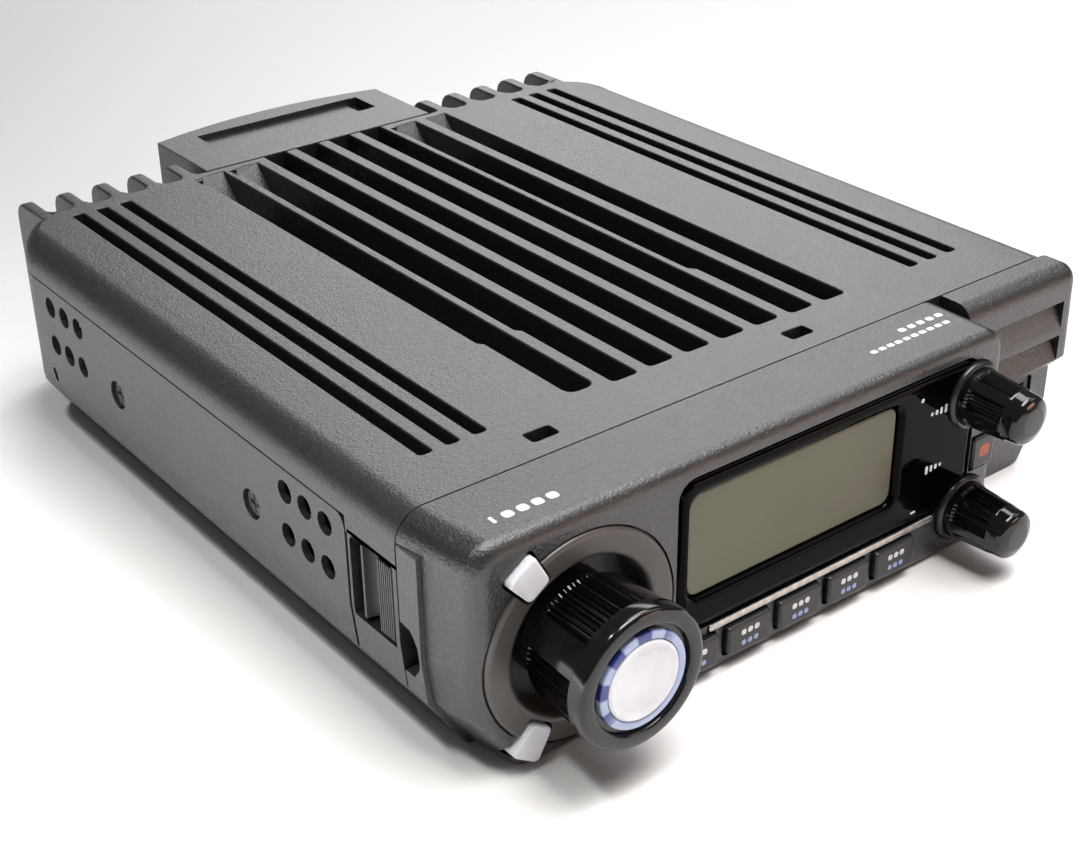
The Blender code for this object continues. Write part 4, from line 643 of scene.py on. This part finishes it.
# ---- Fan and its housing -----------------------------------------------------------------------
# A moulded box behind the middle of the plate, with a bowed back and a shallow recess in its
# top, holds a small axial fan that draws air along the channels.
housing_plastic = sandy_paint("housing_plastic", (0.020, 0.020, 0.020), 0.30, 0.35, 0.8)
from_cad("fan_housing_shell", "fan_housing", housing_plastic, "main_unit", 0.0007, (), 3)
fan_plastic = moulded("fan_plastic", (0.018, 0.018, 0.019), 0.35)
from_cad("fan_frame_moulding", "fan_frame", fan_plastic, "main_unit", 0.0003)
from_cad("fan_rotor_moulding", "fan_rotor", fan_plastic, "fan_rotor", 0.0002)

# ---- Rear sockets ------------------------------------------------------------------------------
# A nickel coaxial socket on a square flange, a white power inlet and two small jacks.
nickel = metal("nickel", (0.62, 0.60, 0.56), 0.28)
tin = metal("tinned_steel", (0.55, 0.56, 0.57), 0.38)
insulator = moulded("insulator", (0.72, 0.70, 0.64), 0.45)
component_black = moulded("component_black", (0.015, 0.015, 0.016), 0.42)
from_cad("antenna_socket_shell", "antenna_socket", nickel, "main_unit", 0.00025)
from_cad("antenna_socket_pin", "antenna_contact", nickel, "main_unit", 0.0002)
from_cad("power_inlet_block", "power_inlet", insulator, "main_unit", 0.0003)
from_cad("speaker_jack_block", "speaker_jack", component_black, "main_unit", 0.0002)
from_cad("data_jack_block", "data_jack", component_black, "main_unit", 0.0002)

# ---- Control head: cases -----------------------------------------------------------------------
# Two mouldings in black textured plastic. The front case carries the display, dial and keys,
# and its top reaches back over the rear case to the casting. Its left side leans in.
FACE_Y = -0.08075
CASE_REAR_Y = -0.07095
HEAD_RIGHT_X = 0.0405
DIAL_X, DIAL_Z = -0.0493, 0.0188
KNOB_X = 0.0332
KNOBS_Z = {"volume": 0.0299, "squelch": 0.0082}
head_plastic = sandy_paint("head_plastic", (0.010, 0.010, 0.0105), 0.26, 0.6, 1.1)


def circle(x, z, radius, edge=0.0, steps=72):
    """A circle's outline with an edge radius."""
    turns = [2 * pi * k / steps for k in range(steps)]
    return [(x + radius * cos(turn), z + radius * sin(turn), edge) for turn in turns]


def head_outline():
    """The front case from the front, with large top corners and the body's sloping lower left."""
    top, side = 0.0026, 0.0022
    return corners(
        [
            (-0.0630, 0.0, 0.0030, 0.0014),
            (HEAD_RIGHT_X, 0.0, 0.0022, 0.0014),
            (HEAD_RIGHT_X, TOP_Z, 0.0040, 0.0018),
            (-SIDE_X, TOP_Z, 0.0048, top),
            (-SIDE_X, 0.0185, 0.0030, side),
            (-SIDE_X + 0.0008, 0.0105, 0.0040, side),
        ],
        7,
    )


def corner_key_outline(sign, grow=0.0, radius=0.0009, edge=0.0):
    """A key beside the dial: narrower towards the dial, with rounded corners."""
    angle = sign * radians(125)
    out = Vector((cos(angle), sin(angle)))
    side = Vector((-out.y, out.x))
    middle = Vector((DIAL_X, DIAL_Z)) + out * 0.0170
    length, wide = 0.0029 + grow, 0.0027 + grow
    ends = []
    for along, share in ((-length, -0.80), (length, -1.05), (length, 1.05), (-length, 0.80)):
        spot = middle + out * along + side * (wide * share)
        ends.append((spot.x, spot.y, radius, edge))
    return corners(ends, 4)


case = slab([head_outline()], FACE_Y, SEAM_Y - 0.0003, "Y", ("low",), 6)
for vert in case.verts:
    if vert.co.x < -0.045 and vert.co.y < -0.07125:
        lean = (-0.07125 - vert.co.y) / 0.0095
        vert.co.x += 0.0028 * lean * min(1.0, (-0.045 - vert.co.x) / 0.015)
bmesh.ops.triangulate(case, faces=[face for face in case.faces if len(face.verts) > 3])
key_xs = [0.0166 - 0.01105 * (4 - n) for n in range(5)]
pockets = [
    slab([bar((-0.08, -0.01), (0.05, 0.0358))], CASE_REAR_Y, -0.05, "Y", ()),
    slab([circle(DIAL_X, DIAL_Z, 0.0175)], FACE_Y - 0.01, -0.0793, "Y", ()),
    slab([circle(DIAL_X, DIAL_Z, 0.0128)], FACE_Y - 0.01, -0.0745, "Y", ()),
    slab([bar((-0.0314, 0.0094), (0.0344, 0.0371), 0.0032)], FACE_Y - 0.01, -0.0793, "Y", ()),
    slab([bar((-0.0248, 0.0078), (0.0268, 0.0094), 0.0006)], FACE_Y - 0.01, -0.0799, "Y", ()),
    slab([bar((0.0346, 0.0144), (0.05, 0.0212), 0.0004)], FACE_Y - 0.01, -0.0770, "Y", ()),
]
for z in KNOBS_Z.values():
    pockets.append(slab([circle(KNOB_X, z, 0.0062)], FACE_Y - 0.01, -0.0795, "Y", ()))
for x in key_xs:
    hole = bar((x - 0.00495, 0.0019), (x + 0.00495, 0.0079), 0.0010)
    pockets.append(slab([hole], FACE_Y - 0.01, -0.0783, "Y", ()))
for sign in (-1, 1):
    pockets.append(slab([corner_key_outline(sign, 0.0005)], FACE_Y - 0.01, -0.0781, "Y", ()))
piece("head_front_case", case, head_plastic, "head", ("head_case",), pockets)
notch = slab([bar((-0.0690, 0.0140), (-0.0640, 0.0224), 0.0009)], -0.08, -0.0690, "X", ())
# The rear case's grey, paler than the front case's black, is painted light: its strip looks lighter for its
# slant to the light.
rear_case_lit_paint = sandy_paint("rear_case_plastic_painted_light", (0.034, 0.035, 0.035), 0.34, 0.4, 0.7)
from_cad("head_rear_case_moulding", "head_rear_case", rear_case_lit_paint, "head", 0.0004, [notch])

# ---- Display -----------------------------------------------------------------------------------
# A gloss black frame, crowned above and below the screen, holds an olive grey liquid crystal
# panel behind a clear lens. A silver strip runs along under it.


def glossy(name, colour, rough=0.08, **constants):
    """Polished moulded plastic with faint unevenness and fine hairlines."""
    made, shader, shade = new_finish(name, colour, rough, **constants)
    place = shade.node("TexCoord", {}, {}, 3)
    waves = shade.node("TexNoise", {}, {"Vector": place, "Scale": 45.0, "Detail": 2.0})
    lines = shade.node("TexNoise", {}, {"Vector": place, "Scale": 600.0, "Detail": 4.0})
    feed(shader, Base_Color=waves.mixed([c * 0.8 for c in colour], colour))
    feed(shader, Roughness=rough + 0.05 * lines.between(0.5, 0.9))
    feed(shader, Normal=bump(waves, 0.00008, 0.15))
    return made


gloss_black = glossy("gloss_black", (0.001, 0.001, 0.001), 0.05, Specular_IOR_Level=0.05)
screen_low, screen_high = (-0.0288, 0.0155), (0.0158, 0.0337)
frame_outline = bar((-0.0312, 0.0096), (0.0342, 0.0369), 0.0030, 0.0015, 6)
screen_hole = bar(screen_low, screen_high, 0.0022, 0.0012, 6)
shape = slab([frame_outline, screen_hole], FACE_Y - 0.0003, -0.0794, "Y", ("low",), 5)
piece("display_frame", shape, gloss_black, "head", ("display_bezel",))


def panel_finish():
    """Unlit liquid crystal glass: olive grey, painted paler towards its upper left as painted light."""
    made, shader, shade = new_finish("screen", (0.16, 0.155, 0.11), 0.3, Specular_IOR_Level=0.25)
    place = shade.node("TexCoord", {}, {}, 3)
    split = shade.node("SeparateXYZ", {}, {0: place})
    rise = shade.node("SeparateXYZ", {}, {0: place}, 2)
    # Painted light: the colour pales towards the upper left and darkens to the right.
    painted_light_slope = ((rise - 0.0246) * 12.0) + (split * -9.0) + 0.5
    fog = shade.node("TexNoise", {}, {"Vector": place, "Scale": 60.0, "Detail": 3.0})
    painted_light_blend = (painted_light_slope * 0.8 + fog * 0.2).between(0.1, 0.9)
    feed(shader, Base_Color=painted_light_blend.mixed((0.075, 0.068, 0.042), (0.145, 0.145, 0.098)))
    fine = shade.node("TexNoise", {}, {"Vector": place, "Scale": 2500.0, "Detail": 2.0})
    feed(shader, Roughness=0.2 + 0.08 * fine)
    return made


screen = panel_finish()
outline = bar((-0.0286, 0.0157), (0.0156, 0.0335), 0.0020, 0.0003, 6)
shape = slab([outline], -0.08010, -0.0795, "Y", ("low",), 2)
piece("screen_lens", shape, screen, "head", ("lcd_window",))
silver = metal("silver_paint", (0.55, 0.55, 0.53), 0.30)
outline = bar((-0.0245, 0.0080), (0.0265, 0.0093), 0.0005, 0.0003, 4)
shape = slab([outline], FACE_Y - 0.0003, -0.0801, "Y", ("low",), 3)
piece("silver_strip", shape, silver, "head", ("trim_strip",))

# ---- Printed marks -----------------------------------------------------------------------------
# Plain bars and dots in thick screen print stand where a maker would print names and labels.


def ink(name, colour):
    """Screen-printed ink: matt, a little thin in places."""
    made, shader, shade = new_finish(name, colour, 0.5)
    place = shade.node("TexCoord", {}, {}, 3)
    thin = shade.node("TexNoise", {}, {"Vector": place, "Scale": 1500.0, "Detail": 3.0})
    feed(shader, Base_Color=thin.between(0.3, 0.6).mixed([c * 0.75 for c in colour], colour))
    return made


white_ink = ink("white_ink", (0.70, 0.70, 0.70))
blue_ink = ink("blue_ink", (0.30, 0.38, 0.62))
INK = 0.00004


def mark_outline(x, y, width, height):
    """A bar about its middle, with softened corners."""
    low, high = (x - width / 2, y - height / 2), (x + width / 2, y + height / 2)
    return bar(low, high, min(width, height) * 0.35)


def face_marks(name, finish, body, front, bars):
    """Raised bars of ink on a surface that faces the operator."""
    shapes = [slab([mark_outline(*mark)], front - INK, front + INK, "Y", ()) for mark in bars]
    return piece(name, joined(*shapes), finish, body)


def top_marks(name, bars):
    """Raised bars of ink on the head's top."""
    shapes = [slab([mark_outline(*mark)], TOP_Z - INK, TOP_Z + INK / 2, "Z", ()) for mark in bars]
    return piece(name, joined(*shapes), white_ink, "head")


marks = [(-0.0605 + 0.0026 * n, -0.0752, 0.0018 - 0.0012 * (n == 0), 0.0017) for n in range(5)]
top_marks("maker_mark", marks)
rows = [(0.0262 + 0.0022 * n, -0.0707, 0.0015, 0.0012) for n in range(5)]
rows += [(0.0168 + 0.0019 * n, -0.0733, 0.0014, 0.0010) for n in range(10)]
top_marks("model_mark", rows)
scales = {"volume_mark": (0.0297, 0.0006, 0.0003), "squelch_mark": (0.0192, 0.0015, -0.0003)}
for name, (z, first, step) in scales.items():
    marks = [(0.0232 + 0.0011 * n, z, 0.0006, first + step * n) for n in range(4)]
    face_marks(name, white_ink, "head", FACE_Y - 0.0003, marks)
marks = [(0.0208, 0.0120, 0.0012, 0.0004), (0.0205, 0.0331, 0.0007, 0.0007)]
face_marks("indicator_mark", white_ink, "head", FACE_Y - 0.0003, marks)

# ---- Dial --------------------------------------------------------------------------------------
# A tapered knob with four bands of fine ribs between smooth lands turns in a satin ring. A
# white push button with a translucent blue edge sits in its face.


def turned(profile, place, steps=72, shape=None):
    """A turned shape facing the operator, from a closed outline of (distance out, radius,
    corner radius) points. `shape` may change a radius by its angle and distance out."""
    x, y, z = place
    section = corners([(*point, 0) for point in profile], 4)
    bm = bmesh.new()
    rows = []
    for out, radius, _ in section:
        if radius < 0.000001:
            rows.append([bm.verts.new((x, y - out, z))])
            continue
        row = []
        for k in range(steps):
            angle = 2 * pi * k / steps
            reach = shape(angle, out, radius) if shape else radius
            row.append(bm.verts.new((x + reach * cos(angle), y - out, z + reach * sin(angle))))
        rows.append(row)
    for first, second in zip(rows, rows[1:] + rows[:1]):
        for k in range(steps):
            a = [first[k % len(first)], first[(k + 1) % steps % len(first)]]
            b = [second[(k + 1) % steps % len(second)], second[k % len(second)]]
            around = list(dict.fromkeys(a + b))
            if len(around) > 2:
                bm.faces.new(around)
    bmesh.ops.recalc_face_normals(bm, faces=bm.faces)
    return bm


def dial_ribs(angle, out, radius):
    """Thirteen ribs in each of four bands, fading out at the ends."""
    if radius < 0.0099 or out > 0.0104 or out < 0.0004:
        return radius
    turn = (angle * 180 / pi - 60) % 90
    if turn < 14 or turn > 76:
        return radius
    wave = (turn - 14) / 62 * 13 % 1
    return radius - 0.00075 * min(1.0, 1.6 * (1 - abs(2 * wave - 1)))


ring_finish = glossy("ring_satin", (0.075, 0.066, 0.060), 0.34)
rims = [circle(DIAL_X, DIAL_Z, 0.0172, 0.0008, 96), circle(DIAL_X, DIAL_Z, 0.0128, 0.0009, 96)]
shape = slab(rims, -0.08125, -0.0796, "Y", ("low",), 4)
gaps = [slab([corner_key_outline(sign, 0.0005)], -0.09, -0.07, "Y", ()) for sign in (-1, 1)]
piece("dial_surround", shape, ring_finish, "head", ("dial_ring",), gaps)
knob_gloss = glossy("knob_gloss", (0.006, 0.006, 0.006), 0.11)
profile = [
    (0.0000, 0.0, 0.0),
    (0.0000, 0.0100, 0.0),
    (0.0006, 0.0104, 0.0),
    (0.0012, 0.01045, 0.0),
    (0.0096, 0.01095, 0.0),
    (0.0104, 0.0110, 0.0),
    (0.0106, 0.0113, 0.0002),
    (0.0136, 0.0113, 0.0009),
    (0.0136, 0.0088, 0.0005),
    (0.0126, 0.0085, 0.0),
    (0.0126, 0.0, 0.0),
]
shape = turned(profile, (DIAL_X, FACE_Y, DIAL_Z), 480, dial_ribs)
piece("dial_grip", shape, knob_gloss, "dial", ("dial_knob",))
white_plastic = moulded(
    "white_plastic", (0.72, 0.73, 0.78), 0.28, 0.2, Subsurface_Weight=0.0, Coat_Weight=0.3
)
profile = [
    (-0.0006, 0.0, 0.0),
    (-0.0006, 0.0062, 0.0),
    (0.0009, 0.0064, 0.0002),
    (0.0012, 0.0060, 0.0002),
    (0.0009, 0.0050, 0.001),
    (0.0007, 0.0, 0.0),
]
shape = turned(profile, (DIAL_X, -0.09335, DIAL_Z), 96)
piece("button_cap", shape, white_plastic, "dial_button", ("dial_button",))


def lit_edge_finish():
    """Translucent blue plastic with darker dashes around its upper left half."""
    made, shader, shade = new_finish("button_edge", (0.10, 0.16, 0.42), 0.15, Coat_Weight=0.5)
    place = shade.node("TexCoord", {}, {}, 3)
    x = shade.node("SeparateXYZ", {}, {0: place}) - DIAL_X
    z = shade.node("SeparateXYZ", {}, {0: place}, 2) - DIAL_Z
    angle = x.maths("ARCTAN2", z, x)
    dashes = (angle * 9.0).maths("SINE", angle * 9.0).between(-0.3, 0.3)
    upper = (z - x).between(-0.002, 0.004)
    shown = dashes * upper
    feed(shader, Base_Color=shown.mixed((0.35, 0.42, 0.62), (0.02, 0.035, 0.20)))
    return made


profile = [(-0.0006, 0.0063, 0.0), (-0.0006, 0.0078, 0.0), (0.0009, 0.0078, 0.0003), (0.0010, 0.0065, 0.0003)]
shape = turned(profile, (DIAL_X, -0.09335, DIAL_Z), 96)
piece("button_lit_edge", shape, lit_edge_finish(), "dial_button", ())

# ---- Keys --------------------------------------------------------------------------------------
# Five satin black keys under the display, two translucent white ones beside the dial and a
# power key at the right edge.
KEY_FRONT_Y = FACE_Y - 0.0012
key_plastic = moulded("key_plastic", (0.010, 0.010, 0.011), 0.30, 0.4)
for number, x in enumerate(key_xs, 1):
    outline = corners(
        [
            (x - 0.00465, 0.0021, 0.0016, 0.0006),
            (x + 0.00465, 0.0021, 0.0016, 0.0006),
            (x + 0.00465, 0.0076, 0.0006, 0.0006),
            (x - 0.00465, 0.0076, 0.0006, 0.0006),
        ],
        5,
    )
    shape = slab([outline], KEY_FRONT_Y, -0.0792, "Y", ("low",), 4)
    body = f"front_key_{number}"
    piece(f"front_key_cap_{number}", shape, key_plastic, body, (body,))
    marks = [(x - 0.0014 + 0.0014 * n, 0.0059, 0.0010, 0.0010) for n in range(3)]
    face_marks(body + "_name", white_ink, body, KEY_FRONT_Y, marks)
    marks = [(x - 0.0013 + 0.0013 * n, 0.0039, 0.0009, 0.0009) for n in range(3)]
    face_marks(body + "_second", blue_ink, body, KEY_FRONT_Y, marks)
for sign, name in ((1, "upper_key"), (-1, "lower_key")):
    shape = slab([corner_key_outline(sign, 0.0, 0.0009, 0.0005)], KEY_FRONT_Y, -0.0790, "Y", ("low",), 4)
    piece(name + "_cap", shape, white_plastic, name, (name,))
outline = bar((0.0349, 0.0148), (0.0402, 0.0208), 0.0006, 0.0005)
shape = slab([outline], FACE_Y - 0.0005, -0.0779, "Y", ("low",), 4)
piece("power_key_cap", shape, key_plastic, "power_key", ("power_key",))
orange_ink = ink("orange_ink", (0.45, 0.10, 0.04))
face_marks("power_key_mark", orange_ink, "power_key", FACE_Y - 0.0005, [(0.0376, 0.0180, 0.0026, 0.0024)])

# ---- Small knobs -------------------------------------------------------------------------------
# Two tapered knobs, each with groups of fine flutes between plain ridges and a domed tip,
# stand in satin collars.


def knob_flutes(angle, out, radius):
    """Six groups of five flutes between six plain ridges."""
    if radius < 0.0040 or out > 0.0092 or out < 0.0024:
        return radius
    turn = angle * 180 / pi % 60
    if turn < 22:
        return radius
    wave = (turn - 22) / 38 * 5 % 1
    return radius - 0.00018 - 0.00028 * (1 - abs(2 * wave - 1))


collar_satin = glossy("collar_satin", (0.014, 0.014, 0.014), 0.28)
for name, z in KNOBS_Z.items():
    profile = [
        (-0.0010, 0.0046, 0.0),
        (-0.0010, 0.0060, 0.0),
        (0.0012, 0.0060, 0.0008),
        (0.0012, 0.0053, 0.0003),
        (0.0002, 0.0046, 0.0),
    ]
    shape = turned(profile, (KNOB_X, FACE_Y, z), 96)
    piece(name + "_collar_ring", shape, collar_satin, "head", (name + "_collar",))
    profile = [
        (-0.0030, 0.0, 0.0),
        (-0.0030, 0.0015, 0.0),
        (0.0002, 0.0015, 0.0),
        (0.0002, 0.0044, 0.0),
        (0.0012, 0.0051, 0.0003),
        (0.0022, 0.0051, 0.0003),
        (0.0026, 0.0050, 0.0),
        (0.0088, 0.0046, 0.0),
        (0.0094, 0.0045, 0.0),
        (0.0096, 0.0044, 0.0),
        (0.0120, 0.0043, 0.0012),
        (0.0127, 0.0024, 0.0008),
        (0.0128, 0.0, 0.0),
    ]
    shape = turned(profile, (KNOB_X, FACE_Y, z), 240, knob_flutes)
    piece(name + "_knob_grip", shape, knob_gloss, name + "_knob", (name + "_knob",))

# ---- Corner block ------------------------------------------------------------------------------
# A moulding on the main unit beside the head, with louvres in its front and the microphone
# jack in its set-back lower part.
BLOCK_FRONT_Y = -0.07275
BLOCK_REAR_Y = SEAM_Y - 0.0003
BLOCK_LEFT_X = 0.0412
profile = [
    (BLOCK_REAR_Y, 0.0, 0.0, 0.0004),
    (BLOCK_REAR_Y, TOP_Z, 0.0, 0.0028),
    (BLOCK_FRONT_Y, TOP_Z, 0.0032, 0.0028),
    (BLOCK_FRONT_Y, 0.0222, 0.0005, 0.0022),
    (BLOCK_FRONT_Y + 0.0035, 0.0187, 0.0005, 0.0010),
    (BLOCK_FRONT_Y + 0.0035, 0.0, 0.0008, 0.0010),
]
block = slab([corners(profile, 6)], BLOCK_LEFT_X, SIDE_X, "X", ("high",), 5)
outside = [(0.0630, -0.001), (0.09, -0.001), (0.09, 0.0185), (0.0705, 0.0185), (0.0697, 0.0105)]
cuts = [slab([outside], -0.09, -0.05, "Y", ())]
for n in range(2):
    top = 0.0338 - 0.0067 * n
    foot = top - 0.0052
    wedge = [
        (BLOCK_FRONT_Y - 0.002, top),
        (BLOCK_FRONT_Y + 0.0019, top),
        (BLOCK_FRONT_Y, foot),
        (BLOCK_FRONT_Y - 0.002, foot),
    ]
    cuts.append(slab([wedge], 0.0432, 0.0668, "X", ()))
cuts.append(slab([bar((0.0536, 0.0085), (0.0652, 0.0185), 0.0008)], -0.08, -0.0640, "Y", ()))
piece("corner_block_moulding", block, head_plastic, "main_unit", ("corner_block",), cuts)
from_cad("microphone_jack", "mic_jack", component_black, "main_unit", 0.0003)

# ---- Boards and parts inside -------------------------------------------------------------------
# Green fibreglass boards, tinned screening cans, the speaker, the controls' bodies and the
# latch's wire spring, which show through the openings.
board_green = moulded("circuit_board", (0.012, 0.060, 0.028), 0.35, 1.0)
lcd_grey = moulded("lcd_grey", (0.22, 0.22, 0.18), 0.3)
spring = from_cad("latch_wire_spring", "latch_spring", screw_steel, "main_unit")
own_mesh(spring)
inside = {
    "main_board": board_green,
    "head_board": board_green,
    "rf_shield": tin,
    "oscillator_shield": tin,
    "lcd_panel": lcd_grey,
    "light_guide": insulator,
    "power_module": component_black,
    "speaker": component_black,
    "volume_pot": tin,
    "squelch_pot": tin,
    "dial_encoder": component_black,
    "head_plug": component_black,
    "head_socket": component_black,
}
for name, finish in inside.items():
    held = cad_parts[name].data
    held.materials.clear()
    held.materials.append(finish)
